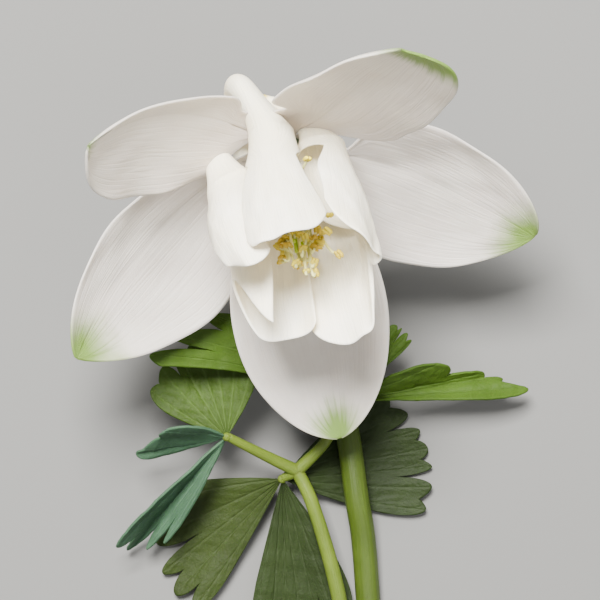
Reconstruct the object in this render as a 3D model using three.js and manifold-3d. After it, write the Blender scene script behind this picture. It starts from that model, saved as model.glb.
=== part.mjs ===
// A cut sprig of columbine lying on a flat surface: one flower on a crooked stem, and one leaf.
// Millimetres, Z up, the surface at z = 0. Angles are degrees.
import * as THREE from "three";
import { mergeVertices } from "three/addons/utils/BufferGeometryUtils.js";
import Module from "manifold-3d";

// ---------------------------------------------------------------- driving dimensions
const middle = [0.7, -17.73]; // middle of the footprint, in the coordinates the sprig is drawn in
const heart = [-1.6, 13.2, 24]; // on the flower's axis, level with the petals' throats
const tilt = 50; // how far the flower's mouth turns from straight up
const lean = 10; // how far the mouth turns aside

const bladeThickness = 0.62; // sepals, petals and leaflets
const clawHalfWidth = 0.7; // narrow foot of a sepal
const claws = [[4, 2.8], [4, 2.8]]; // where each half of the foot starts to widen, and how fast
const sepalFoot = [2.4, -2.5]; // where a sepal starts: from the axis, along the axis

// Each sepal: azimuth round the axis, length, half widths, lift at foot and tip, sway of the azimuth,
// cupping of both halves, roll at foot and tip, and the two powers that shape each half's outline.
const sepals = {
  sepal_upper_left: {
    azimuth: 126.6, length: 30.07, half: [4.0, 9.2], lift: [0.3, 61.2], sway: 17.1, foot: 0,
    claw: [[4.1, 2.2], [3.4, 2.2]], cup: [54, 43], roll: [18.4, 14.5], shape: [[0.3, 0.84], [0.4, 0.59]],
  },
  sepal_upper_right: {
    azimuth: 52, length: 24.8, half: [8.34, 10.5], lift: [16, 30.1], sway: 13.8, foot: 0,
    claw: [[3.6, 2.4], [3.4, 2.4]], cup: [25, 55], roll: [-5.2, -6.9], shape: [[0.42, 0.32], [0.7, 0.62]],
  },
  sepal_right: {
    azimuth: -24.5, length: 26.33, half: [9.87, 7.21], lift: [0, 29.8], sway: -9, foot: -0.8,
    cup: [25, 25], roll: [-15.9, 0.8], shape: [[0.75, 0.69], [0.53, 0.54]],
  },
  sepal_left: {
    azimuth: 203.5, length: 28.87, half: [5.84, 11.01], lift: [2, 56.5], sway: 5.7, foot: -1.05,
    cup: [30, 23], roll: [7.4, 9.1], shape: [[0.68, 0.69], [0.72, 0.71]],
  },
  sepal_bottom: {
    azimuth: -90, length: 30.17, half: [8.6, 7.95], lift: [17.8, 47.8], sway: 4.3, foot: 0.1,
    cup: [24, 21], roll: [-9.6, 3.5], shape: [[0.7, 0.59], [0.7, 0.62]],
  },
};

// Each petal: azimuth at throat and rim; the throat's distance from the axis, height and radius; the
// spur's length, hook, splay, tube and tip radius, sway and cone; then the lamina's height, the angle and
// radius of its arc to both sides, its outer wall's distance from the axis, and its rim's shape.
const petalKind = {
  throat: [5.1, 0, 2.3],
  spur: { length: 13, hook: 150, straight: 0.42, splay: 14, tube: 1.35, tip: 0.62, sway: 0, cone: [0.42, 2] },
  lamina: 17, half: [60, 60], arc: [4.6, 4.6], wall: 8, flare: 0.4,
  drop: [0.15, 0.15], blunt: 2.6, open: 0.34,
};
const petals = {
  petal_front: {
    azimuth: [96, 99], spur: { sway: 4, length: 12, tube: 1.35, tip: 0.85, cone: [0.55, 2] }, lamina: 15, half: [58, 48], arc: [4.5, 4.5],
    wall: 7.9, flare: -0.1, drop: [0.08, 0.03],
  },
  petal_right: {
    azimuth: [20, 14], spur: { splay: 0, hook: 118, length: 10.8, sway: 2.8 }, lamina: 14.5, half: [52, 42],
    arc: [4.6, 6], wall: 7.7, flare: 0, drop: [0.12, 0.2],
  },
  petal_lower_right: {
    azimuth: [-56, -54], spur: { hook: 85, length: 10.4 }, half: [50, 50], arc: [6.6, 4.8], wall: 8.1,
    flare: 0.4, lamina: 18, open: 0.2,
  },
  petal_lower_left: {
    azimuth: [-126, -131], spur: { hook: 85, length: 12 }, half: [128, 73], arc: [4.2, 4], wall: 8.4,
    flare: 0.2, lamina: 17.3, drop: [-0.1, 0.1], open: 0.27,
  },
  petal_left: {
    azimuth: [164, 156], spur: { sway: 1.2, hook: 135 }, half: [92, 48], arc: [3.2, 5.4], wall: 8.9, lamina: 14.8,
    flare: -1.2, drop: [-0.06, 0.5], blunt: 1.6,
  },
};

const stemRadius = 1.35; // at the cut end
const crookRadius = 1.15; // where the stem bends over to the flower
const receptacle = [1.85, 3.4]; // radius and length of the swelling that carries the flower
const stemPath = [
  [9.2, -59.2, 1.4], [8.6, -53.5, 1.42], [8.1, -46, 1.45], [7.3, -32.2, 1.4],
  [6.7, -25, 2.3], [6.1, -21.4, 3.1], [5.2, -15, 3.15], [4.4, -10.9, 2.5],
  [2.6, -3, 1.42], [0.6, 4, 1.32],
];
const crook = { middle: [9.8, 13.1], radius: [9, 11.75], end: 140, shift: [-0.2, -2.1] };

const stalkRadius = [0.95, 0.75, 0.55]; // the leaf's stalk at its foot, at its fork, and beyond it
const knotRadius = 0.95; // the little knot each three leaflets meet in
const stalkPaths = [
  [[5.6, -47, 1.5], [5.2, -41, 2.3], [4.2, -32, 3.4], [1.2, -21.4, 4.4], [-0.3, -18.2, 4.5]],
  [[-0.3, -18.2, 4.5], [-3.1, -16.8, 5.6], [-7.6, -14.4, 8.4]],
  [[-0.3, -18.2, 4.5], [-1.8, -19, 3.9]],
  [[-0.3, -18.2, 4.5], [2.8, -14.9, 5.4], [4.8, -10.8, 6.1]],
];
const leftKnot = [-7.7, -14.4, 8.5];
const middleKnot = [-1.9, -19.1, 3.8];
const rightKnot = [4.8, -10.7, 6.2];

// Where the lobes of a leaflet's edge meet, across the fan from -1 to 1, and how deep each cleft is.
const clefts = [
  [-1, 0.26], [-0.7, 0.07], [-0.36, 0.24], [-0.13, 0.07],
  [0.15, 0.06], [0.38, 0.22], [0.7, 0.07], [1, 0.26],
];

// Each leaflet: the knot it springs from, azimuth, roll, slope and its change, length, how far it
// fans to both sides, how much more it fans near the knot, its sweep to one side, the lift of both
// halves, the skew of its length across the fan, the ripple of its edge, and its own clefts.
const leaflets = {
  leaflet_left_fan: {
    knot: leftKnot, azimuth: 109, roll: 0, slope: [-0.12, 0], length: 10.6,
    spread: [44, 46], bow: [0.25, 0.25], sweep: 0, fold: [10, 10], skew: -0.06, wave: 0.3,
  },
  leaflet_left_edge: {
    knot: leftKnot, start: 0.6, azimuth: 188, roll: -76, slope: [-0.1, 0], length: 10.4,
    spread: [24, 24], bow: [0.2, 0.2], sweep: 0, fold: [10, 10], skew: 0, wave: 0.25,
  },
  leaflet_left_low: {
    knot: leftKnot, azimuth: 230, roll: -14, slope: [-0.36, -0.005], length: 17.4,
    spread: [24, 18], bow: [0.1, 0.4], sweep: 0, fold: [60, 64], skew: -0.05, wave: 0.25,
  },
  leaflet_middle_left: {
    knot: middleKnot, azimuth: 217, roll: 0, slope: [-0.35, 0.0095], length: 17,
    spread: [24, 24], bow: [0.8, 0.1], sweep: 0, fold: [8, 8], skew: 0.03, wave: 0.25,
  },
  leaflet_middle_low: {
    knot: middleKnot, azimuth: 277, roll: 0, slope: [-0.3, 0.006], length: 17,
    spread: [21, 24], bow: [0.05, 0.35], sweep: 0, fold: [8, 8], skew: 0, wave: 0.25,
  },
  leaflet_middle_right: {
    knot: middleKnot, azimuth: 11, roll: 0, slope: [-0.55, 0.0226], length: 16,
    spread: [28, 30], bow: [0.35, 0.35], sweep: 0, fold: [4, 4], skew: -0.06, wave: 0.1,
  },
  leaflet_right_long: {
    knot: rightKnot, azimuth: 9.5, roll: 22, slope: [-0.1, -0.006], length: 15.6,
    spread: [12, 36], bow: [0, -0.15], sweep: 0, fold: [60, 32], skew: -0.46, wave: 0.15,
    cuts: [[-1, 0.35], [-0.3, 0.05], [-0.05, 0.07], [0.2, 0.24], [1, 0.5]],
  },
  leaflet_right_upper: {
    knot: rightKnot, start: 1.1, azimuth: 56, roll: 4, slope: [0.05, 0], length: 9.7,
    spread: [16, 28], bow: [0, 0.3], sweep: 0, fold: [12, 12], skew: -0.05, wave: 0.25,
  },
  leaflet_right_under: {
    knot: rightKnot, azimuth: 146, roll: 0, slope: [0.3, 0], length: 19.2,
    spread: [20, 10], bow: [0.2, 0.2], sweep: 13, fold: [12, 12], skew: 0.2, wave: 0.15,
    cuts: [[-1, 0.2], [-0.74, 0.14], [-0.3, 0.18], [0.3, 0.3], [1, 0.08]],
  },
};

const stamenCount = 26;
const stamenLength = [9.6, 12.8]; // how high the anthers stand above the heart
const filamentRadius = 0.32;
const anther = [0.6, 1.5]; // radius and length
const collar = { inner: 1.2, outer: 1.9, low: 0.9, top: 3.2 }; // round the filaments' feet
const carpelCount = 5;

// ---------------------------------------------------------------- small tools
const rad = (degrees) => (degrees * Math.PI) / 180;
const add = (a, b, k = 1) => [a[0] + b[0] * k, a[1] + b[1] * k, a[2] + b[2] * k];
const mix = (a, b, t) => a + (b - a) * t;
const turned = (a, b, angle) => a.map((x, i) => x * Math.cos(angle) + b[i] * Math.sin(angle));
const cross = (a, b) => [
  a[1] * b[2] - a[2] * b[1], a[2] * b[0] - a[0] * b[2], a[0] * b[1] - a[1] * b[0],
];
const unit = (a) => {
  const size = Math.hypot(...a);
  return a.map((x) => x / size);
};
const smooth = (x) => {
  const t = Math.min(Math.max(x, 0), 1);
  return t * t * (3 - 2 * t);
};

// The flower's own axes: out along its mouth, up across it, and sideways.
const mouth = [
  Math.sin(rad(lean)) * Math.sin(rad(tilt)),
  -Math.cos(rad(lean)) * Math.sin(rad(tilt)),
  Math.cos(rad(tilt)),
];
const rise = [
  -Math.sin(rad(lean)) * Math.cos(rad(tilt)),
  Math.cos(rad(lean)) * Math.cos(rad(tilt)),
  Math.sin(rad(tilt)),
];
const aside = cross(rise, mouth);

// Directions out from the axis and round it, at an azimuth.
function outward(azimuth) {
  return turned(aside, rise, azimuth);
}
function around(azimuth) {
  return turned(rise, aside.map((x) => -x), azimuth);
}

// A surface normal at each point of a grid, from the neighbours on both sides.
function normalsOf(grid) {
  const rows = grid.length;
  return grid.map((row, i) =>
    row.map((point, j) => {
      const down = add(grid[Math.min(i + 1, rows - 1)][j], grid[Math.max(i - 1, 0)][j], -1);
      const over = add(row[Math.min(j + 1, row.length - 1)], row[Math.max(j - 1, 0)], -1);
      return unit(cross(down, over));
    }),
  );
}

// A closed blade: the grid moved half a thickness to both sides and joined round the edge.
function blade(grid, thickness, normals = normalsOf(grid)) {
  const rows = grid.length;
  const columns = grid[0].length;
  const points = [];
  for (const side of [0.5, -0.5]) {
    grid.forEach((row, i) =>
      row.forEach((point, j) => points.push(add(point, normals[i][j], side * thickness))),
    );
  }
  const below = rows * columns;
  const at = (i, j) => i * columns + j;
  const faces = [];
  for (let i = 0; i + 1 < rows; i++) {
    for (let j = 0; j + 1 < columns; j++) {
      const [a, b, c, d] = [at(i, j), at(i + 1, j), at(i + 1, j + 1), at(i, j + 1)];
      faces.push([a, b, c], [a, c, d]);
      faces.push([below + c, below + b, below + a], [below + d, below + c, below + a]);
    }
  }
  const edge = [];
  for (let i = 0; i + 1 < rows; i++) edge.push(at(i, 0));
  for (let j = 0; j + 1 < columns; j++) edge.push(at(rows - 1, j));
  for (let i = rows - 1; i > 0; i--) edge.push(at(i, columns - 1));
  for (let j = columns - 1; j > 0; j--) edge.push(at(0, j));
  edge.forEach((a, k) => {
    const b = edge[(k + 1) % edge.length];
    faces.push([b, a, below + a], [b, below + a, below + b]);
  });
  return { points, faces };
}

// A closed tube along a path, with a radius at each point; three sides or more.
function tube(path, radii, sides) {
  const points = [];
  const faces = [];
  let across = [0, 0, 1];
  path.forEach((point, i) => {
    const ahead = add(path[Math.min(i + 1, path.length - 1)], path[Math.max(i - 1, 0)], -1);
    const along = unit(ahead);
    if (i === 0 && Math.abs(along[2]) > 0.9) across = [1, 0, 0];
    const side = unit(cross(along, across));
    across = unit(cross(side, along));
    for (let k = 0; k < sides; k++) {
      points.push(add(point, turned(side, across, (2 * Math.PI * k) / sides), radii[i]));
    }
  });
  const last = (path.length - 1) * sides;
  for (let i = 0; i + 1 < path.length; i++) {
    for (let k = 0; k < sides; k++) {
      const next = (k + 1) % sides;
      const [a, b] = [i * sides + k, i * sides + next];
      faces.push([a, b + sides, b], [a, a + sides, b + sides]);
    }
  }
  for (let k = 1; k + 1 < sides; k++) {
    faces.push([0, k, k + 1], [last, last + k + 1, last + k]);
  }
  return { points, faces };
}

// A smooth line through points (Catmull-Rom), cut into equal steps of its parameter.
function curve(points, steps) {
  const line = new THREE.CatmullRomCurve3(
    points.map((p) => new THREE.Vector3(...p)), false, "centripetal",
  );
  return line.getSpacedPoints(steps).map((p) => p.toArray());
}

function geometryOf({ points, faces }) {
  const geometry = new THREE.BufferGeometry();
  geometry.setAttribute("position", new THREE.Float32BufferAttribute(points.flat(), 3));
  geometry.setIndex(faces.flat());
  return mergeVertices(geometry, 1e-4);
}

const wasm = await Module();
wasm.setup();

function solidOf(shape) {
  const geometry = geometryOf(shape);
  return new wasm.Manifold(
    new wasm.Mesh({
      numProp: 3,
      vertProperties: geometry.getAttribute("position").array,
      triVerts: new Uint32Array(geometry.index.array),
    }),
  );
}

// Shapes whose roots are sunk into each other, fused into one body.
function fused(shapes) {
  const solid = wasm.Manifold.union(shapes.map(solidOf)).simplify(0.012);
  const mesh = solid.getMesh();
  const geometry = new THREE.BufferGeometry();
  geometry.setAttribute("position", new THREE.BufferAttribute(mesh.vertProperties, 3));
  geometry.setIndex(new THREE.BufferAttribute(mesh.triVerts, 1));
  return geometry;
}

// ---------------------------------------------------------------- the flower
// Where a sepal's rows lie: close together where its foot widens, then wider apart, closing to the tip.
function sepalStations(length, [start, span], rows) {
  const near = [0, start, start + 0.35 * span, start + 0.7 * span, start + 1.15 * span];
  const stations = near.map((d) => d / length);
  const from = stations[stations.length - 1];
  for (let i = 1; i <= rows; i++) {
    stations.push(mix(from, 0.995, Math.sin((Math.PI * i) / rows / 2)));
  }
  return stations;
}

// The midrib runs out from the foot at a lift and azimuth that change steadily; the blade is
// cupped to both sides of it, and its width follows s^a (1-s)^b.
function sepalGrid(p, rows, columns) {
  const fine = 240;
  const frameAt = (s) => {
    const azimuth = rad(p.azimuth + p.sway * s);
    const lift = rad(mix(...p.lift, s));
    const out = outward(azimuth);
    return {
      along: turned(out, mouth, lift),
      over: around(azimuth),
      up: turned(mouth, out.map((x) => -x), lift),
    };
  };
  const foot = sepalFoot[1] + (p.foot ?? 0);
  const midrib = [add(add(heart, outward(rad(p.azimuth)), sepalFoot[0]), mouth, foot)];
  for (let k = 0; k < fine; k++) {
    midrib.push(add(midrib[k], frameAt((k + 0.5) / fine).along, p.length / fine));
  }
  const grid = [];
  const widens = p.claw ?? claws;
  for (const s of sepalStations(p.length, widens[1], rows)) {
    const { over, up } = frameAt(s);
    const roll = rad(mix(...p.roll, s));
    const side = turned(over, up, roll);
    const inward = turned(up, over.map((x) => -x), roll);
    const claw = s < 0.3 ? clawHalfWidth * Math.sqrt(1 - s) : 0;
    const row = [];
    for (let j = 0; j <= columns; j++) {
      const q = (2 * j) / columns - 1;
      const which = q < 0 ? 0 : 1;
      const [start, span] = widens[which];
      const opened = smooth((s * p.length - start) / span);
      const [a, b] = p.shape[which];
      const peak = (a / (a + b)) ** a * (b / (a + b)) ** b;
      const half = Math.max((p.half[which] * opened * s ** a * (1 - s) ** b) / peak, claw);
      const cup = rad(p.cup[which]) * (0.25 + 0.75 * smooth(s / 0.4));
      const centre = midrib[Math.round(s * fine)];
      const flat = add(centre, side, (half * Math.sin(cup * q)) / cup);
      row.push(add(flat, inward, (half * (1 - Math.cos(cup * q))) / cup));
    }
    grid.push(row);
  }
  return grid;
}

// The spur's centre line runs back from the throat, straight and then hooked towards the axis.
function spurLine(p) {
  const { length, hook, straight, splay, tube: tubeRadius, tip, sway, cone } = p.spur;
  const [distance, height, throat] = p.throat;
  const steps = 200;
  const line = [];
  let r = distance;
  let h = height;
  for (let k = 0; k <= steps; k++) {
    const s = k / steps;
    const angle = rad(splay - hook * Math.max(0, (s - straight) / (1 - straight)));
    const wide = (throat - tubeRadius) * (1 - Math.min(s / cone[0], 1)) ** cone[1];
    const radius = tubeRadius + wide + (tip - tubeRadius) * smooth((s - 0.55) / 0.35);
    const end = Math.sqrt(Math.max(0, 1 - Math.max(0, (s - 0.95) / 0.05) ** 2));
    line.push({ r, h, aside: sway * s ** 1.3, angle, radius: radius * end });
    r += (Math.sin(angle) * length) / steps;
    h -= (Math.cos(angle) * length) / steps;
  }
  return line;
}

// Rings of the spur from tip to throat, then rows of the lamina from throat to rim: each is the arc
// at a distance "inset" inside the outer skin.
function petalRows(p, spurRows, laminaRows, columns, inset) {
  const line = spurLine(p);
  const rows = [];
  for (let i = 0; i < spurRows; i++) {
    const s = 1 - ((i + 0.3) / (spurRows + 0.3)) ** 0.85;
    const { r, h, aside: sway, angle, radius } = line[Math.round(s * 200)];
    const out = outward(rad(p.azimuth[0]));
    const round = around(rad(p.azimuth[0]));
    const centre = add(add(add(heart, out, r), mouth, h), round, sway);
    const across = turned(out, mouth, angle);
    const row = [];
    for (let j = 0; j < columns; j++) {
      const theta = Math.PI * ((2 * j) / columns - 1);
      row.push(add(centre, turned(across, round, theta), Math.max(radius - inset, 0)));
    }
    rows.push(row);
  }
  const [distance, height, throat] = p.throat;
  for (let i = 0; i <= laminaRows; i++) {
    const x = i / laminaRows;
    const azimuth = rad(mix(...p.azimuth, smooth(x / 0.6)));
    const out = outward(azimuth);
    const round = around(azimuth);
    const wall =
      distance + throat + (p.wall - distance - throat) * smooth(x / 0.6) + p.flare * x ** 5;
    const splay = rad(p.spur.splay) * (1 - smooth(x / 0.3));
    const row = [];
    for (let j = 0; j < columns + (i ? 1 : 0); j++) {
      const q = (2 * j) / columns - 1;
      const which = q < 0 ? 0 : 1;
      const opening = mix(Math.PI, rad(p.half[which]), smooth(x / p.open));
      const radius = mix(throat, p.arc[which], smooth(x / 0.55));
      const drop = p.drop[which] * Math.abs(q) ** p.blunt + 0.07 * q ** 10;
      const inner = radius - inset;
      const lateral = inner * Math.sin(opening * q);
      const radial = wall - radius + inner * Math.cos(opening * q);
      const level = height + p.lamina * x * (1 - drop * x) + Math.sin(splay) * inner * Math.cos(opening * q);
      row.push(add(add(add(heart, out, radial), round, lateral), mouth, level));
    }
    rows.push(row);
  }
  return rows;
}

// A petal: a hollow hooked spur that opens into a scooped lamina, all one skin.
function petalShape(p, spurRows, laminaRows, columns) {
  const outer = petalRows(p, spurRows, laminaRows, columns, 0);
  const inner = petalRows(p, spurRows, laminaRows, columns, bladeThickness);
  const hollowFrom = Math.ceil(spurRows * 0.55);
  const points = [];
  const faces = [];
  const skin = (rows, first, facing) => {
    const starts = rows.map((row, i) => {
      if (i < first) return -1;
      const start = points.length;
      points.push(...row);
      return start;
    });
    const at = (i, j) => starts[i] + (j % rows[i].length);
    const put = (a, b, c) => faces.push(facing > 0 ? [a, b, c] : [c, b, a]);
    for (let i = first; i + 1 < rows.length; i++) {
      for (let j = 0; j < columns; j++) {
        const [a, b, c, d] = [at(i, j), at(i + 1, j), at(i + 1, j + 1), at(i, j + 1)];
        put(a, c, b);
        put(a, d, c);
      }
    }
    const cap = points.length;
    const ring = rows[first];
    points.push(ring.reduce((sum, p) => add(sum, p), [0, 0, 0]).map((x) => x / ring.length));
    for (let j = 0; j < columns; j++) put(cap, at(first, j + 1), at(first, j));
    return at;
  };
  const outside = skin(outer, 0, 1);
  const inside = skin(inner, hollowFrom, -1);
  const last = spurRows + laminaRows;
  const edge = [];
  for (let i = spurRows; i < last; i++) edge.push([i, 0]);
  for (let j = 0; j < columns; j++) edge.push([last, j]);
  for (let i = last; i > spurRows; i--) edge.push([i, columns]);
  edge.forEach(([i, j], k) => {
    const [m, n] = edge[(k + 1) % edge.length];
    const [a, b, c, d] = [outside(i, j), outside(m, n), inside(m, n), inside(i, j)];
    faces.push([a, b, c], [a, c, d]);
  });
  return { points, faces };
}

// One stamen: a filament that spreads a little from the collar, with an anther at its head.
function stamenShapes(k) {
  const outer = k % 2;
  const azimuth = rad((360 * k) / stamenCount);
  const out = outward(azimuth);
  const chance = ((k * 7) % 11) / 10;
  const foot = outer ? 2.05 : 1.62;
  const spread = outer ? mix(2, 2.6, chance) : mix(1.3, 1.8, chance);
  const length = mix(...stamenLength, ((k * 5) % 9) / 8);
  const place = (t) => add(add(heart, out, mix(foot, spread, t)), mouth, mix(collar.top - 0.4, length, t));
  const lie = unit(add(mouth, turned(out, around(azimuth), k), 0.6));
  const ends = [-0.5, 0, 0.5].map((t) => add(place(1), lie, t * anther[1]));
  return [
    tube([place(0), place(1)], [filamentRadius, filamentRadius], 3),
    tube(ends, [0.45, 1, 0.45].map((x) => x * anther[0]), 4),
  ];
}

// The collar is the feet of all the filaments, grown together round the pistil.
function collarShape() {
  const sides = 14;
  const profile = [
    [collar.inner, collar.low], [collar.outer, collar.low],
    [collar.outer + 0.45, collar.top], [collar.inner + 0.1, collar.top],
  ];
  const points = [];
  const faces = [];
  for (let k = 0; k < sides; k++) {
    const out = outward((2 * Math.PI * k) / sides);
    for (const [radius, height] of profile) {
      points.push(add(add(heart, out, radius), mouth, height));
    }
    const next = (k + 1) % sides;
    for (let m = 0; m < 4; m++) {
      const n = (m + 1) % 4;
      const [a, b, c, d] = [k * 4 + m, next * 4 + m, next * 4 + n, k * 4 + n];
      faces.push([a, b, c], [a, c, d]);
    }
  }
  return { points, faces };
}

function stamens() {
  const shapes = [collarShape()];
  for (let k = 0; k < stamenCount; k++) shapes.push(...stamenShapes(k));
  return fused(shapes);
}

// A fluted pistil on a small foot, its styles spreading at the tips.
function pistil() {
  const levels = [0.9, 1.6, 2.6, 5, 6.6];
  const widths = [0.76, 0.74, 0.78, 0.76, 0.56];
  const shapes = [tube(levels.map((h) => add(heart, mouth, h)), widths, 10)];
  for (let k = 0; k < carpelCount; k++) {
    const out = outward(rad(36 + (360 * k) / carpelCount));
    const path = [[0.3, 6.1], [0.42, 7.6], [0.6, 8.9]].map(([r, h]) => {
      return add(add(heart, out, r), mouth, h);
    });
    shapes.push(tube(path, [0.3, 0.28, 0.26], 4));
  }
  return fused(shapes);
}

// ---------------------------------------------------------------- the stem and the leaf's stalk
function stem() {
  const arc = [];
  for (let k = 1; k <= 9; k++) {
    const turn = rad((crook.end * k) / 9);
    const t = k / 9;
    arc.push([
      mix(...crook.shift, t),
      crook.middle[0] + crook.radius[0] * Math.sin(turn),
      crook.middle[1] - crook.radius[1] * Math.cos(turn),
    ]);
  }
  const end = [-receptacle[1], 0, 0.55].map((h) => add(heart, mouth, h));
  const path = curve([...stemPath, ...arc, ...end], 40);
  const radii = path.map((point, i) => {
    const toHeart = Math.hypot(...add(point, heart, -1));
    const t = i / 40;
    const plain = mix(stemRadius, crookRadius, smooth((t - 0.3) / 0.5));
    const swelling = (receptacle[0] - crookRadius) * smooth((receptacle[1] + 1 - toHeart) / 2.2);
    return plain + (t > 0.8 ? swelling : 0);
  });
  const lain = path.map(([x, y, z], i) => [x, y, Math.max(z, radii[i])]);
  return geometryOf(tube(lain, radii, 8));
}

function ball(centre, radius) {
  const path = [-1, -0.6, 0, 0.6, 1].map((t) => add(centre, [0, 0, 1], t * radius));
  const radii = [0.25, 0.8, 1, 0.8, 0.25].map((x) => x * radius);
  return tube(path, radii, 7);
}

function leafStalk() {
  const shapes = stalkPaths.map((points, k) => {
    const steps = k ? 4 : 12;
    const [from, to] = k ? stalkRadius.slice(1) : stalkRadius;
    const path = curve(points, steps);
    return tube(path, path.map((_, i) => mix(from, to, i / steps)), 7);
  });
  shapes.push(ball(stalkPaths[1][0], stalkRadius[1] * 1.15));
  for (const knot of [leftKnot, middleKnot, rightKnot]) shapes.push(ball(knot, knotRadius));
  return fused(shapes);
}

// ---------------------------------------------------------------- the leaflets
// How far the edge reaches at a place across the fan: round lobes that meet in clefts.
function reach(place, cuts) {
  let k = 0;
  while (k + 2 < cuts.length && place > cuts[k + 1][0]) k++;
  const [[from, deep], [to, next]] = [cuts[k], cuts[k + 1]];
  const t = Math.min(Math.max((place - from) / (to - from), 0), 1);
  const bulge = Math.sin(Math.PI * t) ** 0.6;
  return (1 - 0.08 * place * place) * (1 - mix(deep, next, t) * (1 - bulge));
}

function leafletGrid(p, rows, columns) {
  const cuts = p.cuts ?? clefts;
  const perLobe = Math.round(columns / (cuts.length - 1));
  const along = [Math.cos(rad(p.azimuth)), Math.sin(rad(p.azimuth)), 0];
  const left = [-along[1], along[0], 0];
  const over = turned(left, [0, 0, 1], rad(p.roll));
  const up = turned([0, 0, 1], left.map((x) => -x), rad(p.roll));
  const places = [];
  for (let k = 0; k + 1 < cuts.length; k++) {
    for (let m = 0; m < perLobe; m++) {
      places.push(mix(cuts[k][0], cuts[k + 1][0], m / perLobe));
    }
  }
  places.push(1);
  const pointAt = (place, distance) => {
    const which = place < 0 ? 0 : 1;
    const far = distance / p.length;
    const fan = p.spread[which] * (1 + p.bow[which] * (1 - far));
    const angle = rad(fan * place + p.sweep * far);
    const x = distance * Math.cos(angle);
    const y = distance * Math.sin(angle);
    const lean = rad(mix(p.fold[0], p.fold[1], smooth((y / 0.6 + 1) / 2)));
    const height = (Math.sqrt(y * y + 0.16) - 0.4) * Math.sin(lean);
    const ripple = p.wave * far ** 2 * Math.cos(place * 9 + p.azimuth);
    const slope = p.slope[0] * distance + p.slope[1] * distance * distance;
    const flat = add(add(p.knot, along, x), over, y * Math.cos(lean));
    return add(add(flat, up, height + ripple), [0, 0, 1], slope);
  };
  const grid = [];
  const normals = [];
  for (let i = 0; i <= rows; i++) {
    const out = i / rows;
    const distances = places.map((place) => {
      const edge = p.length * reach(place, cuts) * (1 + p.skew * place);
      return mix(knotRadius + (p.start ?? 0.45), edge, out);
    });
    grid.push(places.map((place, j) => pointAt(place, distances[j])));
    normals.push(places.map((place, j) => {
      const far = distances[j];
      const down = add(pointAt(place, far + 0.4), pointAt(place, far - 0.4), -1);
      return unit(cross(down, add(pointAt(place + 0.1, far), pointAt(place - 0.1, far), -1)));
    }));
  }
  return [grid, normals];
}

// ---------------------------------------------------------------- the whole
const group = new THREE.Group();

function put(name, geometry, colour, roughness) {
  geometry.translate(-middle[0], -middle[1], 0);
  geometry.computeVertexNormals();
  const material = new THREE.MeshStandardMaterial({ color: colour, roughness, metalness: 0 });
  const mesh = new THREE.Mesh(geometry, material);
  mesh.name = name;
  group.add(mesh);
}

for (const [name, p] of Object.entries(sepals)) {
  put(name, geometryOf(blade(sepalGrid(p, 7, 6), bladeThickness)), "#e9e8e2", 0.6);
}
for (const [name, own] of Object.entries(petals)) {
  const p = { ...petalKind, ...own, spur: { ...petalKind.spur, ...own.spur } };
  put(name, geometryOf(petalShape(p, 8, 7, 14)), "#f4f1e6", 0.55);
}
put("stamens", stamens(), "#c9a227", 0.7);
put("pistil", pistil(), "#b7c96a", 0.6);
put("stem", stem(), "#7fa04a", 0.6);
put("leaf_stalk", leafStalk(), "#a8b860", 0.6);
for (const [name, p] of Object.entries(leaflets)) {
  const [grid, normals] = leafletGrid(p, 3, 28);
  put(name, geometryOf(blade(grid, bladeThickness, normals)), "#5d8f3a", 0.65);
}

export default group;
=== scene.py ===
"""A cut sprig of white fan columbine, lying on a pale table.

Sizes are drawn in millimetres, in the coordinates that the sprig was laid out in, and go into the
meshes in metres. The flower has its own axes: out along its mouth, up across it, and sideways.
"""

import math

import bpy
import numpy as np
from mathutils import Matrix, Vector


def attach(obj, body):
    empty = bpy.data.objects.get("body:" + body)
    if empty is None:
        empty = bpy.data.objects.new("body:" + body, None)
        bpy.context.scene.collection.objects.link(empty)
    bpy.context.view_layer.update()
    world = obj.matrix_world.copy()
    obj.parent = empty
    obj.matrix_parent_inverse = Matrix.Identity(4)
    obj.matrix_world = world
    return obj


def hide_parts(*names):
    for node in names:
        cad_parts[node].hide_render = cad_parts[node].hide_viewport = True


bl_info = {
    "name": "Columbine Sprig",
    "version": (1, 0, 0),
    "blender": (4, 5, 0),
    "location": "View3D > Sidebar > Columbine",
    "description": "Builds a cut columbine sprig: flower, stem and divided leaf",
    "category": "Add Mesh",
}

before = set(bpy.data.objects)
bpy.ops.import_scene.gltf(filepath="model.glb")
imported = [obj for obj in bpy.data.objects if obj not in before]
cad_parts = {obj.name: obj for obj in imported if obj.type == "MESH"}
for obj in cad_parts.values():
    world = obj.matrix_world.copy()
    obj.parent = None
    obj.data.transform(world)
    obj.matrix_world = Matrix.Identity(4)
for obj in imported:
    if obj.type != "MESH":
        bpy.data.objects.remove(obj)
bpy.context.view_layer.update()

MM = 0.001
MIDDLE = np.array([0.7, -17.73, 0.0])  # middle of the footprint, in drawing coordinates
HEART = np.array([-1.6, 13.2, 24.0])  # on the flower's axis, level with the petals' throats

# the flower's axes: its mouth is tilted from straight up and turned aside from straight down
TILT, TURN = math.radians(50), math.radians(10)
NOD = np.array([math.sin(TURN), -math.cos(TURN), 0])
UP = np.array([0.0, 0, 1])
MOUTH = NOD * math.sin(TILT) + UP * math.cos(TILT)
RISE = -NOD * math.cos(TILT) + UP * math.sin(TILT)
ASIDE = np.cross(RISE, MOUTH)

EDGE_SHARE = 0.3  # what share of its thickness a blade keeps at its edge
BLADE_MARGIN, PETAL_MARGIN = 0.4, 0.5  # how far from its edge a blade gets thinner

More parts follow.
